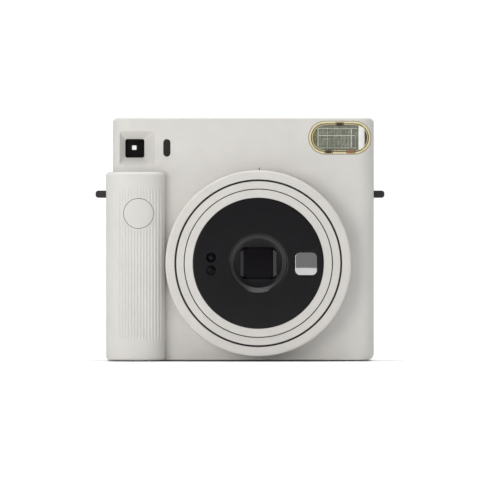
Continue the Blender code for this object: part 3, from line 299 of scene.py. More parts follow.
def rod(name, radius, low, high, centre, axis, steps=LENS_STEPS):
    """A plain round cutter."""
    return turned(name, [(0.0, low), (radius, low), (radius, high), (0.0, high)], centre, axis, steps)


def bake(thing):
    """Turns the object's modifiers into mesh."""
    graph = bpy.context.evaluated_depsgraph_get()
    mesh = bpy.data.meshes.new_from_object(thing.evaluated_get(graph))
    thing.modifiers.clear()
    thing.data = mesh
    return thing


def combine(thing, others, operation):
    """Boolean with each of the others, which are used up."""
    for other in others:
        modifier = thing.modifiers.new(operation, "BOOLEAN")
        modifier.operation = operation
        modifier.object = other
        modifier.solver = "EXACT"
    bake(thing)
    for other in others:
        bpy.data.objects.remove(other, do_unlink=True)
    return thing


def cut(thing, *others):
    return combine(thing, others, "DIFFERENCE")


def join(thing, *others):
    return combine(thing, others, "UNION")


def keep_inside(thing, other):
    return combine(thing, [other], "INTERSECT")


def merge(name, things):
    """Several separate shapes as one object, without a Boolean."""
    bm = bmesh.new()
    for thing in things:
        bm.from_mesh(thing.data)
        bpy.data.objects.remove(thing, do_unlink=True)
    return link(name, mesh_of(bm, name))


def round_edges(thing, radius, segments=4, angle=40):
    modifier = thing.modifiers.new("rounded_edges", "BEVEL")
    modifier.width = radius
    modifier.segments = segments
    modifier.limit_method = "ANGLE"
    modifier.angle_limit = radians(angle)
    return bake(thing)


def shade(thing, angle=32):
    """Smooth shading that stays crisp at real edges."""
    thing.data.shade_smooth()
    thing.data.set_sharp_from_angle(angle=radians(angle))
    modifier = thing.modifiers.new("weighted_normals", "WEIGHTED_NORMAL")
    modifier.keep_sharp = True
    modifier.weight = 80


def piece(thing, material, body, *nodes, angle=32):
    """Gives a finished shape its material and the CAD body and nodes it stands for."""
    shade(thing, angle)
    thing.data.materials.clear()
    thing.data.materials.append(material)
    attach(thing, body)
    if nodes:
        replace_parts(thing, *nodes)
    return thing


# ---- outlines ----------------------------------------------------------------------------------
def arc(centre, radius, start, end, steps):
    return [
        (
            centre[0] + radius * cos(radians(start + (end - start) * i / steps)),
            centre[1] + radius * sin(radians(start + (end - start) * i / steps)),
        )
        for i in range(steps + 1)
    ]


def rounded_rectangle(low_a, low_b, high_a, high_b, radii, steps=8):
    """Corner radii are for low-low, high-low, high-high and low-high; one number serves all."""
    if not isinstance(radii, tuple):
        radii = (radii,) * 4
    corners = [
        (low_a + radii[0], low_b + radii[0], 180),
        (high_a - radii[1], low_b + radii[1], 270),
        (high_a - radii[2], high_b - radii[2], 0),
        (low_a + radii[3], high_b - radii[3], 90),
    ]
    points = []
    for (a, b, start), radius in zip(corners, radii):
        points += arc((a, b), radius, start, start + 90, steps)
    return points


def centred_rectangle(a, b, half_width, half_height, radius):
    """A small rounded rectangle round a place."""
    return rounded_rectangle(
        a - half_width, b - half_height, a + half_width, b + half_height, radius, 3,
    )


def stadium(low_a, low_b, high_a, high_b, steps=32):
    """A rectangle whose shorter sides are half circles."""
    radius = min(high_a - low_a, high_b - low_b) / 2
    if high_a - low_a > high_b - low_b:
        right = arc((high_a - radius, low_b + radius), radius, -90, 90, steps)
        left = arc((low_a + radius, low_b + radius), radius, 90, 270, steps)
        return right + left
    upper = arc((low_a + radius, high_b - radius), radius, 0, 180, steps)
    lower = arc((low_a + radius, low_b + radius), radius, 180, 360, steps)
    return upper + lower


def face_rectangle(place, grow, radius, steps=8):
    """A rounded rectangle as the node's front view, larger all round by grow."""
    return rounded_rectangle(
        place.low.x - grow, place.low.z - grow, place.high.x + grow, place.high.z + grow, radius, steps
    )


def face_stadium(place, grow, steps=32):
    return stadium(
        place.low.x - grow, place.low.z - grow, place.high.x + grow, place.high.z + grow, steps
    )


def grown_rectangle(place, offset, radius):
    """The outline round a place as a function of how much it grows."""
    return lambda grow: face_rectangle(place, offset + grow, radius + grow)


def grown_stadium(place, offset=0.0):
    """The same, for the shape with round ends."""
    return lambda grow: face_stadium(place, offset + grow)


def body_outline(inset):
    """The upper body seen from above."""
    radii = (
        FRONT_LEFT_RADIUS - inset,
        FRONT_RIGHT_RADIUS - inset,
        max(HINGE_RADIUS - inset, 0.25 * MM),
        BACK_LEFT_RADIUS - inset,
    )
    return rounded_rectangle(
        LEFT + inset, FRONT + inset, RIGHT - inset, BACK - inset, radii, CORNER_STEPS
    )


def grip_front_y(x, inset=0.0):
    """How far forward the grip's surface lies at a place across it."""
    half_width = GRIP_HALF_WIDTH - inset
    across = min(abs(x - GRIP_CREST_X) / half_width, 1.0)
    root = FRONT if x > GRIP_CREST_X else GRIP_SIDE_Y
    reach = root - (GRIP_FRONT + inset)
    return root - reach * (1.0 - across**GRIP_ROUNDNESS) ** (1.0 / GRIP_ROUNDNESS)


def grip_outline(inset):
    """The grip seen from above, closed inside the body."""
    half_width = GRIP_HALF_WIDTH - inset
    front = []
    for i in range(GRIP_STEPS + 1):
        x = GRIP_CREST_X + half_width * cos(pi * i / GRIP_STEPS)
        front.append((x, grip_front_y(x, inset)))
    radius = GRIP_BACK_RADIUS - inset
    back = arc((GRIP_LEFT + inset + radius, BACK - inset - radius), radius, 180, 90, 14)
    inside = [(GRIP_RIGHT - inset - 6 * MM, BACK - inset), (GRIP_RIGHT - inset, FRONT + 6 * MM)]
    return front + back + inside


# ---- surfaces of the camera --------------------------------------------------------------------
def corner_drop(across, radius):
    """How far a quarter-round edge of that radius falls away, that far into the corner."""
    into = min(max(across, 0.0), radius)
    return radius - sqrt(radius**2 - into**2)


def body_front_y(x, _z=0.0):
    """The depth of the body's front skin, which turns back at both upright corners."""
    left = corner_drop(LEFT + FRONT_LEFT_RADIUS - x, FRONT_LEFT_RADIUS)
    right = corner_drop(x - RIGHT + FRONT_RIGHT_RADIUS, FRONT_RIGHT_RADIUS)
    return FRONT + left + right


def body_section(side_inset, face_inset):
    """The body seen from above, with its sides and its faces drawn in by different amounts."""
    corners = (
        (LEFT, FRONT, 1, 1, FRONT_LEFT_RADIUS, 180),
        (RIGHT, FRONT, -1, 1, FRONT_RIGHT_RADIUS, 270),
        (RIGHT, BACK, -1, -1, HINGE_RADIUS, 0),
        (LEFT, BACK, 1, -1, BACK_LEFT_RADIUS, 90),
    )
    points = []
    for x, y, inward_x, inward_y, radius, start in corners:
        across = max(radius - side_inset, radius * 0.35)
        along = max(radius - face_inset, radius * 0.35)
        centre_x = x + inward_x * (side_inset + across)
        centre_y = y + inward_y * (face_inset + along)
        for i in range(CORNER_STEPS + 1):
            angle = radians(start + 90 * i / CORNER_STEPS)
            points.append((centre_x + across * cos(angle), centre_y + along * sin(angle)))
    return points


def end_sections(corner_radius):
    """Outlines near the body's top or bottom, each with its distance from that end."""
    rises = sorted(
        {corner_radius * (1 - cos(pi / 2 * i / 10)) for i in range(11)}
        | {EDGE_RADIUS * (1 - cos(pi / 2 * i / 6)) for i in range(1, 6)}
    )
    sections = []
    for rise in rises:
        side = corner_drop(corner_radius - rise, corner_radius)
        face = corner_drop(EDGE_RADIUS - rise, EDGE_RADIUS)
        sections.append((rise, body_section(side, face)))
    return sections


def body_volume(name):
    """The upper body: corners round in the front view, with a finer round on the edges of its faces."""
    lower = [(BASE + rise, outline) for rise, outline in end_sections(FOOT_CORNER_RADIUS)]
    upper = [(TOP - rise, outline) for rise, outline in reversed(end_sections(CROWN_CORNER_RADIUS))]
    return loft(name, lower + upper, "Z")


def smoothstep(low, high, value):
    t = min(max((value - low) / (high - low), 0.0), 1.0)
    return t * t * (3 - 2 * t)


def flute_depth(x, z):
    """How deep the grip's flutes are cut at a place; they fade at their ends and round the button."""
    first = GROOVE_FIRST_X
    last = first + (GROOVE_COUNT - 1) * GROOVE_PITCH
    across = smoothstep(first - GROOVE_PITCH / 2, first, x)
    across *= 1 - smoothstep(last, last + GROOVE_PITCH / 2, x)
    ends = smoothstep(GROOVE_BOTTOM, GROOVE_BOTTOM + FLUTE_FADE, z)
    ends *= 1 - smoothstep(GROOVE_TOP - FLUTE_FADE, GROOVE_TOP, z)
    away = hypot(x - BUTTON.middle.x, z - BUTTON.middle.z) - BUTTON_HOLE_RADIUS
    clear = smoothstep(0.3 * MM, 1.2 * MM, away)
    wave = cos(pi * (x - first) / GROOVE_PITCH) ** 2
    return GROOVE_DEPTH * wave * across * ends * clear


def grip_volume(name, fluted):
    """The upright grip, its top and foot rounded, with the flutes sunk into its front."""
    spread = [GRIP_CREST_X + GRIP_HALF_WIDTH * cos(pi * i / 96) for i in range(97)]
    first = GROOVE_FIRST_X - GROOVE_PITCH / 2
    fine = [first + GROOVE_PITCH * i / 10 for i in range(10 * GROOVE_COUNT + 1)] if fluted else []
    low, high = (fine[0], fine[-1]) if fine else (1.0, -1.0)
    across = sorted(fine + [x for x in spread if not low <= x <= high], reverse=True)
    rises = [GRIP_EDGE_RADIUS * (1 - cos(pi / 2 * i / 6)) for i in range(7)]
    middle = GRIP_TOP - BASE - 2 * GRIP_EDGE_RADIUS
    count = round(middle / (1.0 * MM)) if fluted else 4
    heights = [BASE + rise for rise in rises]
    heights += [BASE + GRIP_EDGE_RADIUS + middle * i / count for i in range(1, count)]
    heights += [GRIP_TOP - rise for rise in reversed(rises)]
    sections = []
    for z in heights:
        inset = corner_drop(GRIP_EDGE_RADIUS - min(z - BASE, GRIP_TOP - z), GRIP_EDGE_RADIUS)
        scale = (GRIP_HALF_WIDTH - inset) / GRIP_HALF_WIDTH
        outline = []
        for x in across:
            drawn_in = GRIP_CREST_X + (x - GRIP_CREST_X) * scale
            y = grip_front_y(drawn_in, inset)
            outline.append((drawn_in, y + (flute_depth(drawn_in, z) if fluted else 0.0)))
        sections.append((z, outline + grip_outline(inset)[GRIP_STEPS + 1:]))
    return loft(name, sections, "Z")


def grip_surface(x, _z):
    """The depth of the grip's front at a place, for the shapes that follow it."""
    return grip_front_y(x)


def level(y):
    """A flat surface at that depth, for the shapes that follow one."""
    return lambda x, z: y


def surface_loft(name, rings, surface):
    """Front-view outlines joined in turn. A ring with a surface sits that far behind it; else at that y."""
    bm = bmesh.new()
    rows = []
    for outline, depth, follows in rings:
        points = [(x, (surface(x, z) if follows else 0.0) + depth, z) for x, z in outline]
        rows.append([bm.verts.new(point) for point in points])
    bm.faces.new(rows[0])
    bm.faces.new(rows[-1])
    for near, far in zip(rows, rows[1:]):
        for i in range(len(near)):
            j = (i + 1) % len(near)
            bm.faces.new((near[i], near[j], far[j], far[i]))
    return link(name, mesh_of(bm, name))


def rim_rings(outline, fillet):
    """The rounded rim of a cutter, from well in front of the surface down to the fillet's depth."""
    rings = [(outline(fillet), -4 * MM, True)]
    for i in range(RIM_STEPS + 1):
        depth = fillet * i / RIM_STEPS
        rings.append((outline(corner_drop(fillet - depth, fillet)), depth, True))
    return rings


def rounded_hole(name, outline, fillet, back, surface):
    """A cutter for a hole whose rim is rounded; outline(grow) draws it, back is the y it reaches."""
    return surface_loft(name, rim_rings(outline, fillet) + [(outline(0.0), back, False)], surface)


def rounded_plug(name, outline, front, fillet, back, surface):
    """A piece that fills a hole: its face lies front behind the surface and its rim is rounded."""
    rings = []
    for i in range(RIM_STEPS + 1):
        angle = pi / 2 * i / RIM_STEPS
        inset = fillet * (1 - sin(angle))
        rings.append((outline(-inset), front + fillet * (1 - cos(angle)), True))
    rings.append((outline(0.0), back, False))
    return surface_loft(name, rings, surface)


def circle(centre, radius, steps=96):
    return [
        (centre[0] + radius * cos(2 * pi * i / steps), centre[1] + radius * sin(2 * pi * i / steps))
        for i in range(steps)
    ]


def domed_disc(name, centre, radius, front, fillet, back, surface):
    """A round plug whose whole face follows a curved surface, as rings from its middle to its rim."""
    rings = [(circle(centre, radius * i / 12 * 0.94), front, True) for i in range(1, 13)]
    for i in range(1, RIM_STEPS + 1):
        angle = pi / 2 * i / RIM_STEPS
        inset = fillet * (1 - sin(angle))
        rings.append((circle(centre, radius - inset), front + fillet * (1 - cos(angle)), True))
    rings.append((circle(centre, radius), back, False))
    return surface_loft(name, rings, surface)


# ---- materials ---------------------------------------------------------------------------------
def add(tree, kind, inputs=None, **settings):
    """A shader node with its settings and inputs; an input is a value or another node's socket."""
    node = tree.nodes.new(kind)
    for key, value in settings.items():
        setattr(node, key, value)
    for key, value in (inputs or {}).items():
        if isinstance(value, bpy.types.NodeSocket):
            tree.links.new(value, node.inputs[key])
        else:
            node.inputs[key].default_value = value
    return node


def noise(tree, size, detail=3.0, stretch=(1.0, 1.0, 1.0)):
    """Noise whose features are about that many metres across, fixed to the piece."""
    place = add(tree, "ShaderNodeTexCoord").outputs["Object"]
    scaled = add(tree, "ShaderNodeMapping", {"Vector": place, "Scale": stretch})
    settings = {
        "Vector": scaled.outputs["Vector"], "Scale": 1.0 / size, "Detail": detail, "Roughness": 0.55,
    }
    return add(tree, "ShaderNodeTexNoise", settings).outputs["Fac"]


def spread(tree, value, low, high, from_low=0.3, from_high=0.7):
    """The value moved onto the range from low to high; the usual range is that of a noise."""
    inputs = {"Value": value, "From Min": from_low, "From Max": from_high, "To Min": low, "To Max": high}
    return add(tree, "ShaderNodeMapRange", inputs).outputs["Result"]


def multiply(tree, first, second):
    return add(tree, "ShaderNodeMath", {0: first, 1: second}, operation="MULTIPLY").outputs["Value"]


def tinted(tree, colour, factor):
    """The colour made lighter or darker by a factor socket."""
    scaled = add(tree, "ShaderNodeVectorMath", {0: colour[:3], "Scale": factor}, operation="SCALE")
    return scaled.outputs["Vector"]


def mixed(tree, factor, first, second):
    node = add(tree, "ShaderNodeMix", {"Factor": factor}, data_type="RGBA")
    for socket, value in ((node.inputs[6], first), (node.inputs[7], second)):
        if isinstance(value, bpy.types.NodeSocket):
            tree.links.new(value, socket)
        else:
            socket.default_value = (*value, 1.0)
    return node.outputs[2]


def moulded(
    name, colour, roughness, grain=0.35 * MM, relief=0.012 * MM, mottle=0.025, scuff_and_highlight=0.10, specular=0.35,
    coat=0.0, scuffed_and_lit_edge_colour=None, stretch=(1.0, 1.0, 1.0), **sockets,
):
    """A moulded or finished surface: soft clouding, fine grain in colour and relief, and edges lightened by
    pointiness, which are worn edges on most finishes and a painted highlight on the flash prism's ribs.
    """
    material = bpy.data.materials.new(name)
    material.use_nodes = True
    tree = material.node_tree
    shader = tree.nodes["Principled BSDF"]
    clouds = noise(tree, 14 * MM, 4.0)
    fine = noise(tree, grain, 2.0, stretch)
    smudges = noise(tree, 5 * MM, 5.0)
    shade = multiply(
        tree,
        spread(tree, clouds, 1 - mottle, 1 + mottle),
        spread(tree, fine, 1 - mottle * 0.9, 1 + mottle * 0.9),
    )
    surface = tinted(tree, colour, shade)
    # Pointiness lightens the convex edges: worn edges on most finishes, a painted highlight on the ridges
    # of the flash prism.
    point = add(tree, "ShaderNodeNewGeometry").outputs["Pointiness"]
    scuffed_edges_and_highlights = multiply(tree, spread(tree, point, 0.0, 1.0, 0.505, 0.56), spread(tree, smudges, 0.2, 1.0))
    lighter = scuffed_and_lit_edge_colour or tuple(min(1.0, value * 1.25 + 0.01) for value in colour)
    edge = multiply(tree, scuffed_edges_and_highlights, scuff_and_highlight)
    tree.links.new(mixed(tree, edge, surface, lighter), shader.inputs["Base Color"])
    rough = spread(tree, smudges, roughness * 0.88, min(roughness * 1.12, 1.0))
    tree.links.new(rough, shader.inputs["Roughness"])
    bump = add(tree, "ShaderNodeBump", {"Height": fine, "Strength": 0.6, "Distance": relief})
    tree.links.new(bump.outputs["Normal"], shader.inputs["Normal"])
    shader.inputs["Specular IOR Level"].default_value = specular
    shader.inputs["Coat Weight"].default_value = coat
    for socket, value in sockets.items():
        shader.inputs[socket.replace("_", " ")].default_value = value
    return material


def make_looks():
    """One finish for each of the record's material slots."""
    return {
        "shell": moulded("shell_plastic", SHELL_COLOUR, 0.55, relief=0.010 * MM, scuff_and_highlight=0.15),
        "ring": moulded("ring_plastic", RING_COLOUR, 0.6, grain=0.5 * MM, relief=0.02 * MM, mottle=0.035),
        "black_gloss": moulded(
            "black_gloss_plastic", (0.0062, 0.0054, 0.0066), 0.14, grain=0.8 * MM, relief=0.0015 * MM,
            mottle=0.15, scuff_and_highlight=0.05, specular=0.28,
        ),
        "black_matte": moulded(
            "black_matt_plastic", (0.018, 0.017, 0.017), 0.6, grain=0.4 * MM, relief=0.02 * MM, mottle=0.12,
        ),
        "clear": moulded(
            "clear_plastic", (0.93, 0.94, 0.91), 0.04, relief=0.001 * MM, mottle=0.01, scuff_and_highlight=0.0,
            Transmission_Weight=1.0, IOR=1.2,
        ),
        "amber": moulded(
            "amber_plastic", (0.60, 0.56, 0.36), 0.16, grain=0.9 * MM, relief=0.004 * MM, mottle=0.06,
            scuff_and_highlight=0.0, Transmission_Weight=0.45, IOR=1.45,
        ),
        "smoke": moulded(
            "smoked_plastic", (0.026, 0.024, 0.020), 0.10, grain=1.2 * MM, relief=0.001 * MM, mottle=0.12,
            scuff_and_highlight=0.0, coat=0.15,
        ),
        "mirror": moulded(
            "silvered_plastic", (0.80, 0.80, 0.80), 0.004, grain=2.5 * MM, relief=0.0, mottle=0.02,
            scuff_and_highlight=0.0, Metallic=1.0,
        ),
        "steel": moulded(
            "brushed_steel", (0.50, 0.49, 0.48), 0.28, grain=0.25 * MM, relief=0.004 * MM, mottle=0.08,
            scuff_and_highlight=0.3, stretch=(1.0, 1.0, 12.0), Metallic=1.0,
        ),
        "white_plastic": moulded("white_gear_plastic", (0.62, 0.61, 0.58), 0.42, mottle=0.04),
        "board": moulded(
            "circuit_board", (0.020, 0.11, 0.045), 0.38, grain=0.7 * MM, relief=0.02 * MM, mottle=0.2,
            scuffed_and_lit_edge_colour=(0.35, 0.22, 0.06),
        ),
        "rubber": moulded(
            "rubber", (0.040, 0.028, 0.026), 0.85, grain=0.3 * MM, relief=0.04 * MM, mottle=0.15,
            specular=0.2,
        ),
        "film": moulded("film_card", (0.70, 0.69, 0.66), 0.45, grain=0.3 * MM, mottle=0.05),
        "foil": moulded(
            "battery_sleeve", (0.045, 0.050, 0.060), 0.3, grain=0.5 * MM, relief=0.004 * MM, mottle=0.15,
            scuffed_and_lit_edge_colour=(0.5, 0.42, 0.25), scuff_and_highlight=0.4, Metallic=0.6,
        ),
    }


LOOKS = make_looks()
FLASH_RIM_LOOK = moulded(
    "flash_rim_plastic", (0.70, 0.62, 0.38), 0.25, grain=1.0 * MM, relief=0.003 * MM, mottle=0.08,
)
FLASH_BED_LOOK = moulded(
    "flash_bed_plastic", (0.120, 0.115, 0.060), 0.2,
    grain=1.4 * MM, relief=0.01 * MM, mottle=0.3, coat=0.25,
)
# Pale bars painted as the reflections of the flash tube and reflector seen through the prism.
FLASH_REFLECTION_LOOK = moulded("flash_painted_reflection", (0.50, 0.52, 0.44), 0.2, grain=0.6 * MM, mottle=0.25)
FLASH_RED_LOOK = moulded("flash_red_tab", (0.28, 0.12, 0.075), 0.4, mottle=0.2)
FLASH_BROWN_LOOK = moulded("flash_brown_tab", (0.045, 0.034, 0.018), 0.4, mottle=0.2)
# Dark olive for the gap inside the flash rim: painted shade.
FLASH_GAP_SHADE_LOOK = moulded("flash_gap", (0.085, 0.075, 0.035), 0.4, grain=0.8 * MM, mottle=0.2)
WELL_LOOK = moulded("lens_well_satin", (0.055, 0.053, 0.055), 0.42, mottle=0.1)
DISH_LOOK = moulded("lens_dish_satin", (0.016, 0.015, 0.017), 0.42, mottle=0.1, specular=0.5)
LENS_GLASS_LOOK = moulded(
    "coated_lens_glass", (0.0055, 0.0045, 0.0065), 0.05, grain=1.2 * MM, relief=0.0, mottle=0.1, scuff_and_highlight=0.0,
    specular=0.12,
)
TUNNEL_LOOK = moulded(
    "tunnel_black", (0.0075, 0.0060, 0.0058), 0.7, grain=0.5 * MM, mottle=0.2, scuff_and_highlight=0.05, specular=0.08,
)
# The strong pale edge colour here paints a highlight along the crests of the prism's ribs.
PRISM_LOOK = moulded(
    "flash_prism", (0.165, 0.172, 0.135), 0.16, grain=0.9 * MM, relief=0.004 * MM, mottle=0.40, coat=0.10,
    stretch=(1.0, 1.0, 0.35), scuff_and_highlight=0.8, scuffed_and_lit_edge_colour=(0.50, 0.52, 0.44), specular=0.4,
)
# A near-white finish for the prism's right end: a painted highlight, not the clear plastic's own colour.
PRISM_END_HIGHLIGHT_LOOK = moulded(
    "flash_prism_end_highlight", (0.82, 0.83, 0.80), 0.25, grain=0.8 * MM, mottle=0.06, coat=0.5,
)


# ---- the covers --------------------------------------------------------------------------------
def camera_volume(name, fluted):
    body = body_volume(name)
    join(body, grip_volume(f"{name}_grip", fluted))
    hollow = prism(f"{name}_hollow", body_outline(WALL), BASE + WALL, TOP - WALL, "Z")
    grip_hollow = prism(f"{name}_grip_hollow", grip_outline(WALL), BASE + WALL, GRIP_TOP - WALL, "Z")
    join(hollow, grip_hollow)
    return cut(body, hollow)


def half_space(low_y, high_y):
    return box(
        "half_space",
        (GRIP_LEFT - OVERSHOOT, low_y, BASE - OVERSHOOT),
        (RIGHT + OVERSHOOT, high_y, TOP + OVERSHOOT),
    )


def mouth_outline(grow):
    x_low, z_low, x_high, z_high = MOUTH
    return rounded_rectangle(
        x_low - grow, z_low - grow, x_high + grow, z_high + grow, 1.6 * MM + grow, 8,
    )


def finder_inner_outline():
    return face_rectangle(FINDER, -0.7 * MM, 1.0 * MM, 8)


def finder_funnel():
    """Solid wall behind the face, so that the funnel has something to be cut from."""
    rings = [
        (mouth_outline(1.2 * MM), 0.8 * MM, True),
        (mouth_outline(1.2 * MM), FINDER_FLOOR + 1.0 * MM, False),
    ]
    return surface_loft("finder_funnel", rings, body_front_y)


def finder_recess():
    rings = rim_rings(mouth_outline, 0.5 * MM)
    rings.append((finder_inner_outline(), FINDER_FLOOR, False))
    rings.append((finder_inner_outline(), FINDER_FLOOR + 2.0 * MM, False))
    return surface_loft("finder_recess", rings, body_front_y)


def lug_slots(side):
    lug = LUGS["strap_lug_right" if side > 0 else "strap_lug_left"]
    wall = RIGHT if side > 0 else GRIP_LEFT
    inner, outer = wall - side * 4.0 * MM, wall + side * 1.0 * MM
    return box(
        "lug_slot",
        (min(inner, outer), lug.middle.y - 3.7 * MM, lug.low.z - 0.2 * MM),
        (max(inner, outer), lug.middle.y + 3.7 * MM, lug.high.z + 0.2 * MM),
    )


def foot_pocket(foot):
    radius = foot.size.x / 2 + 0.2 * MM
    centre = (foot.middle.x, foot.middle.y)
    return rod("foot_pocket", radius, BASE - OVERSHOOT, foot.high.z + 0.1 * MM, centre, "Z", 64)


def make_front_cover():
    cover = camera_volume("front_cover_skin", fluted=True)
    join(cover, finder_funnel())
    flash_hole = rounded_hole(
        "flash_hole", grown_stadium(FLASH, GAP), 0.25 * MM, FRONT + 4.0 * MM, body_front_y
    )
    pill_hole = rounded_hole(
        "pill_hole", grown_stadium(PILL, GAP), 0.15 * MM, FRONT + 3 * MM, body_front_y
    )
    button_hole = rounded_hole(
        "button_hole", lambda grow: circle(BUTTON_CENTRE, BUTTON_HOLE_RADIUS * 0.985 + grow),
        0.2 * MM, GRIP_FRONT + 6 * MM, grip_surface,
    )
    lens_hole = rod(
        "lens_hole", BAND_RADIUS + GAP, FRONT - OVERSHOOT, FRONT + WALL + OVERSHOOT, (LENS_X, LENS_Z), "Y"
    )
    cutters = [finder_recess(), flash_hole, pill_hole, button_hole, lens_hole]
    cutters += [lug_slots(-1), lug_slots(1), half_space(COVER.high.y, BACK + OVERSHOOT)]
    cutters += [foot_pocket(foot) for foot in FEET.values() if foot.middle.y < PARTING_Y]
    cut(cover, merge("front_cover_cutters", cutters))
    cover.name = "front_cover_detail"
    piece(cover, LOOKS["shell"], "camera_body", "front_cover")


def make_rear_cover():
    cover = camera_volume("rear_cover_skin", fluted=False)
    for low_z, high_z in ((BASE + WALL / 2, DOOR.low.z), (DOOR.high.z, TOP - WALL)):
        join(cover, box(
            "hinge_knuckle",
            (HINGE_X - 4.5 * MM, HINGE_Y - 5.0 * MM, low_z),
            (HINGE_X + 0.9 * MM, HINGE_Y + 1.5 * MM, high_z),
        ))
    opening = box(
        "door_opening",
        (DOOR.low.x - GAP, HINGE_Y - HINGE_RADIUS - GAP, DOOR.low.z - GAP),
        (RIGHT + OVERSHOOT, BACK + OVERSHOOT, DOOR.high.z + GAP),
    )
    slot = box(
        "exit_slot",
        (FLAP.low.x + 0.9 * MM, FLAP.low.y - GAP, TOP - WALL - 1.0 * MM),
        (FLAP.high.x - 0.9 * MM, FLAP.low.y - GAP + 4.7 * MM, TOP + OVERSHOOT),
    )
    battery_opening = box(
        "battery_opening",
        (GRIP_LEFT - OVERSHOOT, POWER_COVER.low.y - GAP, POWER_COVER.low.z + 0.9 * MM),
        (GRIP_LEFT + WALL + OVERSHOOT, POWER_COVER.high.y + GAP, POWER_COVER.high.z - 0.9 * MM),
    )
    eyepiece_hole = prism(
        "eyepiece_hole", face_rectangle(EYEPIECE, GAP, 1.8 * MM),
        BACK - WALL - OVERSHOOT, BACK + OVERSHOOT, "Y",
    )
    counter_hole = prism(
        "counter_hole", circle((COUNTER.middle.x, COUNTER.middle.z), COUNTER.size.x / 2 + GAP),
        BACK - WALL - OVERSHOOT, BACK + OVERSHOOT, "Y",
    )
    cutters = [opening, slot, battery_opening, eyepiece_hole, counter_hole]
    cutters.append(half_space(FRONT - 20 * MM, REAR.low.y))
    cutters += [foot_pocket(foot) for foot in FEET.values() if foot.middle.y > PARTING_Y]
    for screw in SCREWS.values():
        centre = (screw.middle.x, screw.middle.y)
        cutters.append(rod("screw_head_hole", 2.3 * MM, BASE - OVERSHOOT, 1.7 * MM, centre, "Z", 48))
    cut(cover, merge("rear_cover_cutters", cutters))
    round_edges(cover, 0.18 * MM, 2, angle=60)
    cover.name = "rear_cover_detail"
    piece(cover, LOOKS["shell"], "camera_body", "rear_cover")


# ---- the lens ----------------------------------------------------------------------------------
def on_lens(name, profile, look, body, *nodes, steps=LENS_STEPS):
    thing = turned(name, profile, (LENS_X, LENS_Z), "Y", steps)
    return piece(thing, look, body, *nodes, angle=40)


def around_lens(outline):
    return [(LENS_X + a, LENS_Z + b) for a, b in outline]


def make_lens_ring():
    """The turning rim: a flat face, a soft shoulder and a straight side."""
    inner = BAND_RADIUS + OUTER_GROOVE / 2
    fillet = 0.15 * MM
    shoulder = 1.1 * MM
    profile = arc((inner + fillet, RING_FACE + fillet), fillet, 180, 270, 6)
    profile += arc((RING_RADIUS - shoulder, RING_FACE + shoulder), shoulder, 270, 360, 14)
    profile += [
        (RING_RADIUS, RING.high.y - 0.3 * MM), (RING_RADIUS - 0.3 * MM, RING.high.y),
        (RING_RADIUS - WALL, RING.high.y), (RING_RADIUS - WALL, RING_FACE + 3.0 * MM),
        (inner, RING_FACE + 3.0 * MM),
    ]
    on_lens("lens_ring_detail", profile, LOOKS["ring"], "control_ring", "lens_ring")


def make_lens_band():
    inner = BARREL_RADIUS + INNER_GROOVE
    outer = BAND_RADIUS - OUTER_GROOVE / 2
    fillet = 0.13 * MM
    profile = arc((inner + fillet, RING_FACE + fillet), fillet, 180, 270, 6)
    profile += arc((outer - fillet, RING_FACE + fillet), fillet, 270, 360, 6)
    profile += [
        (outer, BAND.high.y - 1.5 * MM), (BAND.size.x / 2, BAND.high.y - 1.5 * MM),
        (BAND.size.x / 2, BAND.high.y), (BAND_RADIUS - 1.9 * MM, BAND.high.y),
        (BAND_RADIUS - 1.9 * MM, RING_FACE + 2.0 * MM), (inner, RING_FACE + 2.0 * MM),
    ]
    on_lens("lens_band_detail", profile, LOOKS["ring"], "camera_body", "lens_band")
    # Black rings in the two grooves paint the shade of the gaps between the lens rings.
    make_groove_shade_ring("outer_groove_shade", outer, BAND_RADIUS + OUTER_GROOVE / 2)
    make_groove_shade_ring("inner_groove_shade", BARREL_RADIUS, inner)


def make_groove_shade_ring(name, inner, outer):
    """A black ring at the floor of a groove in the lens face: painted shade that keeps the gap dark."""
    slack = 0.02 * MM
    low, high = RING_FACE + 0.6 * MM, RING_FACE + 1.8 * MM
    middle = (inner + outer) / 2
    profile = [
        (inner + slack, low), (middle, low + 0.1 * MM), (outer - slack, low),
        (outer - slack, high), (inner + slack, high),
    ]
    on_lens(name, profile, LOOKS["black_matte"], "camera_body")


def make_lens_barrel():
    """The sleeve that slides forward, with fine lines round its side."""
    face = BARREL.low.y
    inner = DISC_RADIUS + 0.18 * MM
    fillet = 0.25 * MM
    profile = arc((inner + fillet, face + fillet), fillet, 180, 270, 6)
    profile += arc((BARREL_RADIUS - fillet, face + fillet), fillet, 270, 360, 6)
    for number in range(5):
        y = face + (1.6 + 1.1 * number) * MM
        profile += [(BARREL_RADIUS, y), (BARREL_RADIUS - 0.12 * MM, y + 0.12 * MM)]
        profile += [(BARREL_RADIUS - 0.12 * MM, y + 0.3 * MM), (BARREL_RADIUS, y + 0.42 * MM)]
    profile += [
        (BARREL_RADIUS, BARREL.high.y), (BARREL_RADIUS - 2.0 * MM, BARREL.high.y),
        (BARREL_RADIUS - 2.0 * MM, face + 3.0 * MM), (inner, face + 3.0 * MM),
    ]
    on_lens("lens_barrel_detail", profile, LOOKS["ring"], "lens_unit", "lens_barrel")


def well_outline(grow_left, grow_right):
    half = Vector((LENS_GLASS.size.x / 2 + GAP, LENS_GLASS.size.z / 2 + GAP))
    return around_lens(
        rounded_rectangle(-half.x - grow_left, -half.y, half.x + grow_right, half.y, 2.2 * MM, 8)
    )


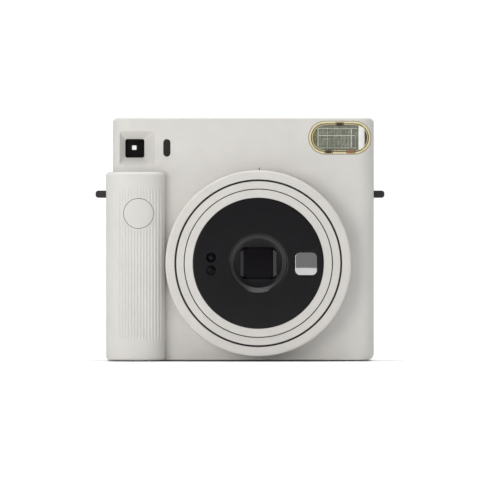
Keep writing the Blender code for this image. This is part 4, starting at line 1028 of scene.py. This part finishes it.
def make_front_disc():
    """The black face: a shallow dish round the lens, holes for the sensors and a seat for the mirror."""
    floor = DISC_FACE + DISH_DEPTH
    back = DISC_FACE + 1.9 * MM
    fillet = 0.35 * MM
    profile = [(0.0, floor), (DISH_FLOOR_RADIUS - 0.3 * MM, floor)]
    profile += [(DISH_FLOOR_RADIUS, floor - 0.12 * MM), (DISH_RADIUS - 0.12 * MM, DISC_FACE + 0.08 * MM)]
    profile += [(DISH_RADIUS + 0.15 * MM, DISC_FACE)]
    profile += arc((DISC_RADIUS - fillet, DISC_FACE + fillet), fillet, 270, 360, 6)
    profile += [
        (DISC_RADIUS, back), (17.0 * MM, back), (17.0 * MM, DISC.high.y), (0.0, DISC.high.y),
    ]
    disc = turned("front_disc_detail", profile, (LENS_X, LENS_Z), "Y")
    rim = [
        (well_outline(1.75 * MM, 1.95 * MM), floor - 3 * MM, False),
        (well_outline(1.75 * MM, 1.95 * MM), floor, False),
        (well_outline(0.0, 0.0), floor + 2.3 * MM, False),
        (well_outline(0.0, 0.0), DISC.high.y + OVERSHOOT, False),
    ]
    cutters = [surface_loft("lens_well", rim, level(0.0))]
    for eye in EYES:
        centre = (eye.middle.x, eye.middle.z)
        outline = (lambda middle: lambda grow: circle(middle, eye.size.x / 2 + 0.2 * MM + grow, 48))(centre)
        cutters.append(rounded_hole("eye_hole", outline, 0.2 * MM, back + OVERSHOOT, level(DISC_FACE)))
    cutters.append(rounded_hole(
        "mirror_seat", grown_rectangle(MIRROR, 0.12 * MM, 2.4 * MM),
        0.15 * MM, DISC_FACE + 1.3 * MM, level(DISC_FACE),
    ))
    cut(disc, merge("front_disc_cutters", cutters))
    piece(disc, LOOKS["black_gloss"], "lens_unit", "front_disc", angle=25)
    proud = 0.03 * MM
    slope = [
        (DISH_FLOOR_RADIUS + 0.12 * MM, floor - 0.2 * MM - proud),
        (DISH_RADIUS - 0.10 * MM, DISC_FACE + 0.10 * MM - proud),
        (DISH_RADIUS + 0.10 * MM, DISC_FACE + 0.16 * MM),
        (DISH_FLOOR_RADIUS + 0.15 * MM, floor + 0.1 * MM),
    ]
    on_lens("lens_dish_wall", slope, DISH_LOOK, "lens_unit")


def make_well_cheeks():
    """The satin cheeks either side of the lens window."""
    floor = DISC_FACE + DISH_DEPTH
    half = Vector((LENS_GLASS.size.x / 2 + GAP, LENS_GLASS.size.z / 2 + GAP))
    for side, width, name in ((-1, 1.7 * MM, "lens_cheek_left"), (1, 1.9 * MM, "lens_cheek_right")):
        inner, outer = side * half.x, side * (half.x + width)
        top, bottom = half.y - 1.2 * MM, -half.y + 1.0 * MM
        lean = 0.9 * MM
        outline = [(inner, bottom), (outer, bottom + lean), (outer, top - lean), (inner, top)]
        front = [(LENS_X + a, LENS_Z + b) for a, b in outline]
        cheek = prism(name, front, floor + 0.1 * MM, floor + 2.2 * MM, "Y")
        bm = bmesh.new()
        bm.from_mesh(cheek.data)
        for vertex in bm.verts:
            if vertex.co.y < floor + MM and abs(vertex.co.x - LENS_X) < half.x + 0.1 * MM:
                vertex.co.y = floor + 2.0 * MM
        bm.to_mesh(cheek.data)
        bm.free()
        round_edges(cheek, 0.15 * MM, 3)
        piece(cheek, WELL_LOOK, "lens_unit")


def make_lens_fittings():
    mirror = rounded_plug(
        "selfie_mirror_detail", grown_rectangle(MIRROR, 0.0, 2.3 * MM),
        0.0, 0.12 * MM, MIRROR.high.y, level(MIRROR.low.y),
    )
    piece(mirror, LOOKS["mirror"], "lens_unit", "selfie_mirror", angle=20)
    for number, (eye, name) in enumerate(zip(EYES, ("sensor_eye_upper", "sensor_eye_lower"))):
        radius = eye.size.x / 2 + 0.05 * MM
        dome = [
            (0.0, eye.low.y + 0.55 * MM), (radius * 0.2, eye.low.y + 0.5 * MM),
            (radius * 0.45, eye.low.y + 0.52 * MM), (radius * 0.62, eye.low.y + 0.7 * MM),
            (radius * 0.68, eye.low.y + 0.9 * MM), (radius * 0.9, eye.low.y + 0.9 * MM),
            (radius, eye.low.y + 1.0 * MM), (radius, eye.high.y), (0.0, eye.high.y),
        ]
        if number == 0:
            dome = [
                (0.0, eye.low.y + 0.25 * MM), (radius * 0.25, eye.low.y + 0.3 * MM),
                (radius * 0.5, eye.low.y + 0.5 * MM), (radius * 0.66, eye.low.y + 0.85 * MM),
            ] + dome[4:]
        thing = turned(f"{name}_detail", dome, (eye.middle.x, eye.middle.z), "Y", 64)
        piece(thing, LENS_GLASS_LOOK, "lens_unit", name, angle=50)
    window = rounded_plug(
        "lens_window_detail", grown_rectangle(LENS_GLASS, 0.0, 1.9 * MM),
        0.0, 0.15 * MM, LENS_GLASS.high.y, level(LENS_GLASS.low.y),
    )
    piece(window, LENS_GLASS_LOOK, "lens_unit", "lens_window", angle=20)


# ---- the finder, the sensor and the flash ------------------------------------------------------
def make_finder():
    glass = rounded_plug(
        "viewfinder_glass_detail", grown_rectangle(FINDER, 0.0, 1.2 * MM),
        0.0, 0.1 * MM, FINDER.high.y, level(FINDER.low.y),
    )
    piece(glass, LOOKS["clear"], "camera_body", "viewfinder_glass")
    tunnel = prism(
        "viewfinder_tunnel_detail", face_rectangle(TUNNEL, 0.0, 0.8 * MM), TUNNEL.low.y, TUNNEL.high.y, "Y",
    )
    hollow = prism(
        "tunnel_hollow", face_rectangle(TUNNEL, -1.2 * MM, 0.5 * MM), TUNNEL.low.y + 1.0 * MM,
        TUNNEL.high.y + OVERSHOOT, "Y",
    )
    cut(tunnel, hollow)
    peephole = prism(
        "peephole",
        rounded_rectangle(
            PEEPHOLE_X - PEEPHOLE, PEEPHOLE_Z - PEEPHOLE, PEEPHOLE_X + PEEPHOLE, PEEPHOLE_Z + PEEPHOLE,
            0.05 * MM,
        ),
        TUNNEL.low.y - OVERSHOOT, TUNNEL.low.y + 2 * MM, "Y",
    )
    bezel = turned(
        "peephole_groove",
        [
            (2.5 * MM, TUNNEL.low.y - 0.5 * MM), (2.9 * MM, TUNNEL.low.y - 0.5 * MM),
            (2.9 * MM, TUNNEL.low.y + 0.3 * MM), (2.5 * MM, TUNNEL.low.y + 0.3 * MM),
        ],
        (PEEPHOLE_X, PEEPHOLE_Z), "Y", 64,
    )
    cut(tunnel, merge("tunnel_cutters", [peephole, bezel]))
    piece(tunnel, TUNNEL_LOOK, "camera_body", "viewfinder_tunnel")
    frame_piece = prism(
        "eyepiece_frame_detail", face_rectangle(EYEPIECE, 0.0, 1.6 * MM),
        EYEPIECE.low.y, EYEPIECE.high.y, "Y",
    )
    cut(frame_piece, prism(
        "eyepiece_opening", face_rectangle(EYEPIECE, -1.5 * MM, 1.0 * MM),
        EYEPIECE.low.y - OVERSHOOT, EYEPIECE.high.y + OVERSHOOT, "Y",
    ))
    round_edges(frame_piece, 0.35 * MM, 4)
    piece(frame_piece, LOOKS["black_matte"], "camera_body", "eyepiece_frame")


def make_sensor_window():
    pill = rounded_plug(
        "sensor_window_detail", grown_stadium(PILL, 0.25 * MM), 0.1 * MM, 0.15 * MM,
        PILL.high.y, body_front_y,
    )
    piece(pill, LOOKS["smoke"], "camera_body", "sensor_window")


def flash_rim(name, outer_grow, inner_grow, front, fillet, back):
    """A stadium-shaped lip that follows the body's skin."""
    lip = rounded_plug(
        name, grown_stadium(FLASH, outer_grow), front, fillet, back, body_front_y
    )
    hole = rounded_hole(
        f"{name}_hole", grown_stadium(FLASH, inner_grow), fillet * 0.7,
        back + OVERSHOOT, lambda x, z: body_front_y(x) + front,
    )
    return cut(lip, hole)


def make_flash():
    """A raised pale rim, a bed of tinted plastic with clips, and the ribbed prism in the middle."""
    back = FLASH_BACK
    rim = flash_rim("flash_rim", 0.12 * MM, -FLASH_RIM, -0.15 * MM, 0.25 * MM, back)
    piece(rim, FLASH_RIM_LOOK, "camera_body", "flash_window")
    # A recessed dark line inside the rim: the recess is real, and its dark colour is painted shade in the
    # gap.
    gap = flash_rim(
        "flash_gap_shade_line", -FLASH_RIM - 0.02 * MM, -FLASH_RIM - 0.45 * MM, 0.45 * MM, 0.1 * MM, back
    )
    piece(gap, FLASH_GAP_SHADE_LOOK, "camera_body")
    bed = rounded_plug(
        "flash_bed", grown_stadium(FLASH, -FLASH_RIM - 0.05 * MM), 0.75 * MM, 0.2 * MM,
        back + 0.3 * MM, body_front_y,
    )
    opening = rounded_hole(
        "flash_bed_opening",
        grown_rectangle(FLASH_PANE, 0.15 * MM, 1.5 * MM), 0.1 * MM,
        back + 3 * MM, body_front_y,
    )
    cut(bed, opening)
    piece(bed, FLASH_BED_LOOK, "camera_body", "flash_window")
    inner_line = flash_rim(
        "flash_inner_line", -FLASH_RIM - 0.45 * MM, -FLASH_RIM - 0.80 * MM, 0.3 * MM, 0.12 * MM, back
    )
    piece(inner_line, FLASH_RIM_LOOK, "camera_body")
    make_flash_clips()
    make_flash_prism()


def make_flash_clips():
    """Three small snap clips that hold the prism's bezel."""
    middle = FLASH.middle.x
    clips = (
        ("flash_clip_top", middle - 0.1 * MM, FLASH.high.z - 1.15 * MM, 1.3 * MM, FLASH_BROWN_LOOK),
        ("flash_clip_low_left", middle - 5.5 * MM, FLASH.low.z + 0.85 * MM, 1.3 * MM, FLASH_BROWN_LOOK),
        ("flash_clip_low_right", middle + 5.3 * MM, FLASH.low.z + 0.85 * MM, 1.5 * MM, FLASH_RED_LOOK),
    )
    for name, x, z, half_width, look in clips:
        clip = prism(
            name,
            centred_rectangle(x, z, half_width, CLIP_HALF_HEIGHT, 0.2 * MM),
            FRONT - 0.3 * MM, FRONT + 3.0 * MM, "Y",
        )
        round_edges(clip, 0.12 * MM, 2)
        piece(clip, look, "camera_body")
        for side in (-1, 1):
            post_x = x + side * (half_width + 0.45 * MM)
            post = prism(
                f"{name}_post_{'left' if side < 0 else 'right'}",
                centred_rectangle(post_x, z, 0.3 * MM, 0.8 * MM, 0.15 * MM),
                FRONT - 0.25 * MM, FRONT + 3.0 * MM, "Y",
            )
            round_edges(post, 0.1 * MM, 2)
            piece(post, FLASH_BED_LOOK, "camera_body")


def relief_plate(name, place, x_low, x_high, columns, rows, radius, front, back):
    """A rounded rectangle whose face is a relief: front(x, z) gives its depth behind the body's skin."""
    bm = bmesh.new()
    grid = []
    for i in range(columns + 1):
        x = x_low + (x_high - x_low) * i / columns
        into = max(place.low.x + radius - x, x - place.high.x + radius, 0.0)
        trim = corner_drop(into, radius)
        low, high = place.low.z + trim, place.high.z - trim
        column = []
        for j in range(rows + 1):
            z = low + (high - low) * j / rows
            column.append(bm.verts.new((x, body_front_y(x) + front(x, z), z)))
        grid.append(column)
    behind = [[bm.verts.new((vertex.co.x, back, vertex.co.z)) for vertex in column] for column in grid]
    for near, far in zip(grid, grid[1:]):
        for j in range(rows):
            bm.faces.new((near[j], near[j + 1], far[j + 1], far[j]))
    for near, far in zip(behind, behind[1:]):
        for j in range(rows):
            bm.faces.new((near[j], far[j], far[j + 1], near[j + 1]))
    for i in range(columns):
        for j in (0, rows):
            bm.faces.new((grid[i][j], grid[i + 1][j], behind[i + 1][j], behind[i][j]))
    for column, hidden in ((grid[0], behind[0]), (grid[-1], behind[-1])):
        for j in range(rows):
            bm.faces.new((column[j], hidden[j], hidden[j + 1], column[j + 1]))
    bmesh.ops.remove_doubles(bm, verts=bm.verts, dist=1e-7)
    return link(name, mesh_of(bm, name))


def make_flash_prism():
    """The clear block, ribbed both ways, with seven thin pale bars in its face, which are painted
    reflections of the flash tube and reflector, and a plainer end painted near white as a highlight.
    """
    span = FLASH_PANE.size.x
    reflection_bar_x = FLASH_PANE.low.x + span * 0.72
    end_x = FLASH_PANE.low.x + span * 0.875
    low_reflection_z = FLASH_PANE.low.z + FLASH_PANE.size.z * 0.60
    high_reflection_z = FLASH_PANE.high.z - 1.15 * MM

    def front(x, z):
        columns = max(cos(2 * pi * (x - FLASH_PANE.low.x) / COLUMN_PITCH), 0.0) ** 6
        rows = max(cos(2 * pi * (z - FLASH_PANE.low.z) / ROW_PITCH), 0.0) ** 6
        return 0.85 * MM - 0.16 * MM * columns - 0.09 * MM * rows

    near_x = FLASH_PANE.low.x + 0.55 * MM
    bars = (
        (near_x - 0.3 * MM, FLASH_PANE.low.z + 1.6 * MM, near_x + 0.1 * MM, high_reflection_z + 0.2 * MM),
        (near_x, high_reflection_z - 0.15 * MM, end_x - 0.6 * MM, high_reflection_z + 0.2 * MM),
        (near_x, low_reflection_z - 0.14 * MM, end_x - 2.0 * MM, low_reflection_z + 0.18 * MM),
        (near_x, FLASH_PANE.low.z + 0.9 * MM, end_x - 0.6 * MM, FLASH_PANE.low.z + 1.1 * MM),
        (reflection_bar_x - 0.2 * MM, FLASH_PANE.low.z + 1.4 * MM, reflection_bar_x + 0.25 * MM, high_reflection_z + 0.1 * MM),
        (near_x + 4.5 * MM, FLASH_PANE.low.z + 1.2 * MM, near_x + 4.65 * MM, high_reflection_z),
        (near_x + 2.2 * MM, FLASH_PANE.low.z + 5.2 * MM, near_x + 5.6 * MM, FLASH_PANE.low.z + 5.4 * MM),
    )
    # The bars are painted reflections, set into the prism's face.
    solids = []
    for number, (x_low, z_low, x_high, z_high) in enumerate(bars):
        bar = prism(
            f"reflection_bar_{number}", rounded_rectangle(x_low, z_low, x_high, z_high, 0.06 * MM, 3),
            FRONT + 0.45 * MM, FRONT + 1.6 * MM, "Y",
        )
        solids.append(bar)
    piece(merge("flash_reflection_bars", solids), FLASH_REFLECTION_LOOK, "camera_body")

    back = FLASH_PANE.high.y
    pane = relief_plate(
        "flash_lens_detail", FLASH_PANE, FLASH_PANE.low.x, end_x, 220, 110, FLASH_CORNER_RADIUS,
        front, back,
    )
    piece(pane, PRISM_LOOK, "camera_body", "flash_lens", angle=60)
    # The plainer right end is painted near white as a highlight.
    end = relief_plate(
        "flash_lens_end", FLASH_PANE, end_x, FLASH_PANE.high.x, 16, 40, FLASH_CORNER_RADIUS,
        lambda x, z: 0.55 * MM + 0.04 * MM * cos(2 * pi * z / (1.1 * MM)), back,
    )
    piece(end, PRISM_END_HIGHLIGHT_LOOK, "camera_body", "flash_lens", angle=60)


# ---- the button and the small fittings ---------------------------------------------------------
def make_button():
    button = domed_disc(
        "shutter_button_detail", BUTTON_CENTRE, BUTTON_RADIUS, 0.05 * MM, 0.3 * MM,
        BUTTON.high.y - 4.6 * MM, grip_surface,
    )
    piece(button, LOOKS["shell"], "release_button", "shutter_button")


def make_lugs():
    for side, name in ((-1, "strap_lug_left"), (1, "strap_lug_right")):
        lug = LUGS[name]
        wall = RIGHT if side > 0 else GRIP_LEFT
        reach = (lug.high.x - wall) if side > 0 else (wall - lug.low.x)
        y = lug.middle.y

        def at(distance, along):
            return (wall + side * distance, y + along)

        bend = reach - 3.4 * MM
        loop = [
            at(bend + 3.4 * MM * cos(radians(a)), 4.4 * MM * sin(radians(a))) for a in range(-90, 91, 6)
        ]
        outline = [at(-2.0 * MM, -3.4 * MM), at(0.3 * MM, -3.4 * MM), at(0.3 * MM, -4.4 * MM)] + loop
        outline += [at(0.3 * MM, 4.4 * MM), at(0.3 * MM, 3.4 * MM), at(-2.0 * MM, 3.4 * MM)]
        thing = prism(f"{name}_detail", outline, lug.low.z, lug.high.z, "Z")
        hole = [
            at(reach - 3.0 * MM + 1.5 * MM * cos(radians(a)), 2.9 * MM * sin(radians(a)))
            for a in range(-90, 91, 6)
        ]
        hole += [at(1.2 * MM, 2.9 * MM), at(1.2 * MM, -2.9 * MM)]
        cut(thing, prism("lug_hole", hole, lug.low.z - OVERSHOOT, lug.high.z + OVERSHOOT, "Z"))
        inner_end = wall - side * 3.0 * MM
        outer_end = wall + side * reach
        face = rounded_rectangle(
            min(inner_end, outer_end), lug.low.z, max(inner_end, outer_end), lug.high.z, 1.45 * MM, 10
        )
        keep_inside(thing, prism("lug_face", face, y - 6 * MM, y + 6 * MM, "Y"))
        round_edges(thing, 0.25 * MM, 3)
        piece(thing, LOOKS["black_matte"], "camera_body", name)


def make_feet():
    for name, foot in FEET.items():
        radius = foot.size.x / 2
        profile = [(0.0, foot.low.z), (radius * 0.55, foot.low.z)]
        profile += [(radius * 0.6, foot.low.z + 0.12 * MM), (radius * 0.7, foot.low.z + 0.12 * MM)]
        profile += [(radius * 0.75, foot.low.z)]
        profile += arc((radius - 0.3 * MM, foot.low.z + 0.3 * MM), 0.3 * MM, 270, 360, 6)
        profile += [(radius, foot.high.z), (0.0, foot.high.z)]
        thing = turned(f"{name}_detail", profile, (foot.middle.x, foot.middle.y), "Z", 72)
        piece(thing, LOOKS["rubber"], "camera_body", name)


def make_screws():
    for name, screw in SCREWS.items():
        radius = screw.size.x / 2
        low = screw.low.z
        profile = [(0.0, low), (radius * 0.75, low), (radius, low + 0.25 * MM), (radius, low + 0.7 * MM)]
        profile += [(1.0 * MM, low + 0.7 * MM), (1.0 * MM, screw.high.z), (0.0, screw.high.z)]
        thing = turned(f"{name}_detail", profile, (screw.middle.x, screw.middle.y), "Z", 48)
        x, y = screw.middle.x, screw.middle.y
        for half_x, half_y in ((1.3 * MM, 0.25 * MM), (0.25 * MM, 1.3 * MM)):
            cut(thing, box(
                "cross", (x - half_x, y - half_y, low - OVERSHOOT), (x + half_x, y + half_y, low + 0.4 * MM)
            ))
        round_edges(thing, 0.05 * MM, 2)
        piece(thing, LOOKS["steel"], "camera_body", name)


def make_index_mark():
    """The small printed tick above the ring."""
    x, z = LENS_X + 0.5 * MM, LENS_Z + RING_RADIUS + 0.75 * MM
    mark = rounded_plug(
        "ring_index_mark",
        lambda grow: stadium(
            x - 0.22 * MM - grow, z - 0.7 * MM - grow, x + 0.22 * MM + grow, z + 0.7 * MM + grow, 8,
        ),
        -0.04 * MM, 0.03 * MM, FRONT + 0.5 * MM, body_front_y,
    )
    piece(mark, WELL_LOOK, "camera_body")


# ---- the back ----------------------------------------------------------------------------------
def door_panel(name, inset, radius, front):
    """A slab over the door's face; the line round the panel is one slab less a smaller one."""
    outline = rounded_rectangle(
        DOOR.low.x + PANEL_MARGIN + inset, DOOR.low.z + PANEL_MARGIN + inset,
        HINGE_X - PANEL_HINGE_MARGIN - inset, DOOR.high.z - PANEL_MARGIN - inset, radius,
    )
    return prism(name, outline, front, front + 1.0 * MM, "Y")


def make_door():
    inner = DOOR.low.y
    start = -180 - degrees(asin((inner - HINGE_Y) / HINGE_RADIUS))
    barrel = arc((HINGE_X, HINGE_Y), HINGE_RADIUS, start, 90, 48)
    outline = [(DOOR.low.x, inner)] + barrel
    outline += arc((DOOR.low.x + 0.6 * MM, BACK - 0.6 * MM), 0.6 * MM, 90, 180, 6)
    door = prism("film_door_detail", outline, DOOR.low.z, DOOR.high.z, "Z")
    window_hole = prism(
        "film_window_hole", face_stadium(FILM_WINDOW, GAP), inner - OVERSHOOT, BACK + OVERSHOOT, "Y",
    )
    latch_hole = prism(
        "latch_hole",
        rounded_rectangle(
            LATCH.low.x - GAP, LATCH.low.z - GAP,
            LATCH.high.x + GAP + 3.0 * MM, LATCH.high.z + GAP, 0.8 * MM,
        ),
        inner - OVERSHOOT, BACK + OVERSHOOT, "Y",
    )
    bore = rod(
        "door_bore", PIN_BORE_RADIUS, DOOR.low.z - OVERSHOOT, DOOR.high.z + OVERSHOOT, (HINGE_X, HINGE_Y),
        "Z", 32,
    )
    panel = door_panel("door_panel_line", 0.0, PANEL_RADIUS, BACK - 0.25 * MM)
    cut(panel, door_panel("door_panel_core", PANEL_LINE, PANEL_RADIUS - 0.6 * MM, BACK - 0.5 * MM))
    for cutter in (window_hole, latch_hole, bore, panel):
        cut(door, cutter)
    round_edges(door, 0.3 * MM, 3, angle=50)
    piece(door, LOOKS["shell"], "door", "film_door")


def make_door_fittings():
    window = rounded_plug(
        "film_window_detail", grown_stadium(FILM_WINDOW), 0.0, 0.2 * MM, FILM_WINDOW.low.y,
        level(FILM_WINDOW.high.y),
    )
    for vertex in window.data.vertices:
        vertex.co.y = min(vertex.co.y, 2 * FILM_WINDOW.high.y - vertex.co.y)
    piece(window, LOOKS["amber"], "door", "film_window")
    latch = prism(
        "door_latch_detail", face_rectangle(LATCH, -0.05 * MM, 0.6 * MM), LATCH.low.y, BACK - 0.9 * MM, "Y",
    )
    for number in range(4):
        x = LATCH.low.x + (1.1 + number * 1.5) * MM
        rib = prism(
            "latch_rib",
            stadium(x, LATCH.low.z + MM, x + 0.75 * MM, LATCH.high.z - MM, 8),
            BACK - 1.5 * MM, LATCH.high.y, "Y",
        )
        join(latch, rib)
    round_edges(latch, 0.12 * MM, 2)
    piece(latch, LOOKS["black_matte"], "latch", "door_latch")


def make_counter():
    """The disc that counts the pictures left, with a tick for each, under a clear window."""
    radius = DIAL.size.x / 2
    centre = (DIAL.middle.x, DIAL.middle.z)
    profile = [
        (1.3 * MM, DIAL.low.y), (radius - 0.15 * MM, DIAL.low.y), (radius, DIAL.low.y + 0.15 * MM),
        (radius, DIAL.high.y - 0.15 * MM), (radius - 0.15 * MM, DIAL.high.y), (1.3 * MM, DIAL.high.y),
    ]
    dial = turned("counter_dial_detail", profile, centre, "Y", 96)
    notches = []
    for number in range(12):
        angle = 2 * pi * number / 12
        notch = box(
            "notch",
            (-0.2 * MM, DIAL.high.y - 0.12 * MM, -0.9 * MM), (0.2 * MM, DIAL.high.y + MM, 0.9 * MM),
        )
        turn = Matrix.Rotation(angle, 4, "Y")
        notch.data.transform(Matrix.Translation((0.0, 0.0, radius - 2.2 * MM)))
        notch.data.transform(turn)
        notch.data.transform(Matrix.Translation((centre[0], 0.0, centre[1])))
        notches.append(notch)
    cut(dial, merge("dial_notches", notches))
    piece(dial, LOOKS["white_plastic"], "frame_counter", "counter_dial")
    radius = COUNTER.size.x / 2
    lens = [(0.0, COUNTER.low.y), (radius, COUNTER.low.y), (radius, COUNTER.high.y - 0.35 * MM)]
    lens += [(radius - 0.3 * MM, COUNTER.high.y - 0.1 * MM), (radius * 0.5, COUNTER.high.y - 0.02 * MM)]
    lens += [(0.0, COUNTER.high.y)]
    window = turned("counter_window_detail", lens, (COUNTER.middle.x, COUNTER.middle.z), "Y", 72)
    piece(window, LOOKS["clear"], "camera_body", "counter_window")


def make_battery_cover():
    x = GRIP_LEFT + 1.0 * MM
    hinge_y = POWER_COVER.high.y - 1.0 * MM
    low_z, high_z = POWER_COVER.low.z + 1.2 * MM, POWER_COVER.high.z - 1.2 * MM
    outline = [(x + MM, POWER_COVER.low.y), (x + MM, hinge_y)]
    outline += arc((x, hinge_y), 1.0 * MM, 0, 180, 24)[1:]
    outline += [(x - MM, POWER_COVER.low.y)]
    cover = prism("battery_cover_detail", outline, low_z, high_z, "Z")
    grips = []
    for number in range(4):
        y = POWER_COVER.low.y + (1.6 + number * 1.1) * MM
        grips.append(box(
            "thumb_groove",
            (GRIP_LEFT - OVERSHOOT, y, low_z + 22 * MM),
            (GRIP_LEFT + 0.35 * MM, y + 0.5 * MM, high_z - 22 * MM),
        ))
    cut(cover, merge("thumb_grooves", grips))
    round_edges(cover, 0.15 * MM, 2, angle=50)
    piece(cover, LOOKS["shell"], "power_cover", "battery_cover")


def make_exit_flap():
    x_low, x_high = FLAP.low.x + 1.2 * MM, FLAP.high.x - 1.2 * MM
    pivot_y, pivot_z = FLAP.high.y - 0.6 * MM, TOP - 1.0 * MM
    leaf = [(FLAP.low.y, pivot_z - 0.4 * MM), (pivot_y, pivot_z - 0.6 * MM)]
    leaf += arc((pivot_y, pivot_z), 0.6 * MM, -60, 60, 12)
    leaf += [(pivot_y, pivot_z + 0.6 * MM), (FLAP.low.y, pivot_z + 0.4 * MM)]
    flap = prism("exit_flap_detail", leaf, x_low, x_high, "X")
    round_edges(flap, 0.1 * MM, 2)
    piece(flap, LOOKS["black_matte"], "slot_flap", "exit_flap")


# ---- the pieces inside -------------------------------------------------------------------------
def dress_inner_pieces():
    """CAD pieces that still show get their finish, and a small round on their edges."""
    stood_for = {name for thing in bpy.data.objects for name in thing.get("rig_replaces", ())}
    for name, thing in frame["nodes"].items():
        if name in stood_for:
            continue
        thing.data.materials.clear()
        thing.data.materials.append(LOOKS[SLOT_OF[name]])
        bevel = thing.modifiers.new("soft_edges", "BEVEL")
        bevel.width = 0.12 * MM
        bevel.segments = 2
        bevel.limit_method = "ANGLE"
        bevel.angle_limit = radians(50)


# ---- light, floor and camera -------------------------------------------------------------------
def aim(thing, target):
    thing.rotation_euler = (Vector(target) - thing.location).to_track_quat("-Z", "Y").to_euler()


def area_light(name, place, target, size, power, colour):
    data = bpy.data.lights.new(name, "AREA")
    data.shape = "DISK"
    data.size = size
    data.energy = power
    data.color = colour
    light = bpy.data.objects.new(name, data)
    bpy.context.scene.collection.objects.link(light)
    light.location = place
    aim(light, target)
    return light


def light_world(tree):
    """A white backdrop to look at, a dimmer room round it, and a pale table that goes on below."""
    direction = add(tree, "ShaderNodeTexCoord").outputs["Generated"]
    height = add(tree, "ShaderNodeSeparateXYZ", {"Vector": direction}).outputs["Z"]
    below = add(tree, "ShaderNodeMath", {0: height, 1: 0.0}, operation="LESS_THAN").outputs["Value"]
    room = spread(tree, below, ROOM_STRENGTH, TABLE_GLOW, 0.0, 1.0)
    path = add(tree, "ShaderNodeLightPath").outputs
    looked_at = add(
        tree, "ShaderNodeMath", {0: path["Is Camera Ray"], 1: path["Is Transmission Ray"]},
        operation="MAXIMUM",
    ).outputs["Value"]
    strength = spread(tree, looked_at, room, BACKGROUND_STRENGTH, 0.0, 1.0)
    background = tree.nodes["Background"]
    background.inputs["Color"].default_value = (1.0, 1.0, 1.0, 1.0)
    tree.links.new(strength, background.inputs["Strength"])


def make_floor():
    """A sheet of white paper, a little brighter to look at than the light it sends back."""
    bm = bmesh.new()
    bmesh.ops.create_grid(bm, x_segments=8, y_segments=8, size=FLOOR_HALF_WIDTH)
    floor = link("studio_floor", mesh_of(bm, "studio_floor"))
    look = moulded(
        "floor_paper", FLOOR_BOUNCE, 0.95, grain=3 * MM, relief=0.01 * MM, mottle=0.004, scuff_and_highlight=0.0,
        specular=0.0,
    )
    tree = look.node_tree
    shader = tree.nodes["Principled BSDF"]
    plain = shader.inputs["Base Color"].links[0].from_socket
    seen = add(tree, "ShaderNodeLightPath").outputs["Is Camera Ray"]
    tree.links.new(mixed(tree, seen, plain, FLOOR_SEEN), shader.inputs["Base Color"])
    floor.data.materials.append(look)


def make_dark_card():
    """A grey card behind the camera; the mirror shows its lower edge, with the pale table below it."""
    split = MIRROR.low.z + MIRROR_SPLIT
    low = split - (CAMERA_HEIGHT - split) * CARD_DISTANCE / VIEW_DISTANCE
    card = box(
        "studio_card",
        (-CARD_HALF_WIDTH, -CARD_DISTANCE - CARD_THICKNESS, low),
        (CARD_HALF_WIDTH, -CARD_DISTANCE, CARD_TOP),
    )
    look = moulded(
        "card_grey", (0.34, 0.34, 0.34), 0.9, grain=4 * MM, mottle=0.02, scuff_and_highlight=0.0, specular=0.1,
    )
    card.data.materials.append(look)
    card.visible_camera = False


def make_stage():
    make_floor()
    make_dark_card()
    world = bpy.data.worlds.new("studio")
    world.use_nodes = True
    light_world(world.node_tree)
    scene = bpy.context.scene
    scene.world = world
    scene.view_settings.view_transform = "Standard"
    for light in LIGHTS:
        area_light(*light)
    make_camera(scene)


def make_camera(scene):
    data = bpy.data.cameras.new("photo_camera")
    data.lens = LENS_LENGTH
    data.sensor_width = SENSOR_WIDTH
    camera = bpy.data.objects.new("photo_camera", data)
    scene.collection.objects.link(camera)
    camera.location = (0.0, FRONT - VIEW_DISTANCE, CAMERA_HEIGHT)
    camera.rotation_euler = (pi / 2, 0.0, 0.0)
    data.clip_end = CLIP_END
    scene.camera = camera


make_front_cover()
make_rear_cover()
make_lens_ring()
make_lens_band()
make_lens_barrel()
make_front_disc()
make_well_cheeks()
make_lens_fittings()
make_finder()
make_sensor_window()
make_flash()
make_button()
make_lugs()
make_feet()
make_screws()
make_index_mark()
make_door()
make_door_fittings()
make_counter()
make_battery_cover()
make_exit_flap()
dress_inner_pieces()
make_stage()
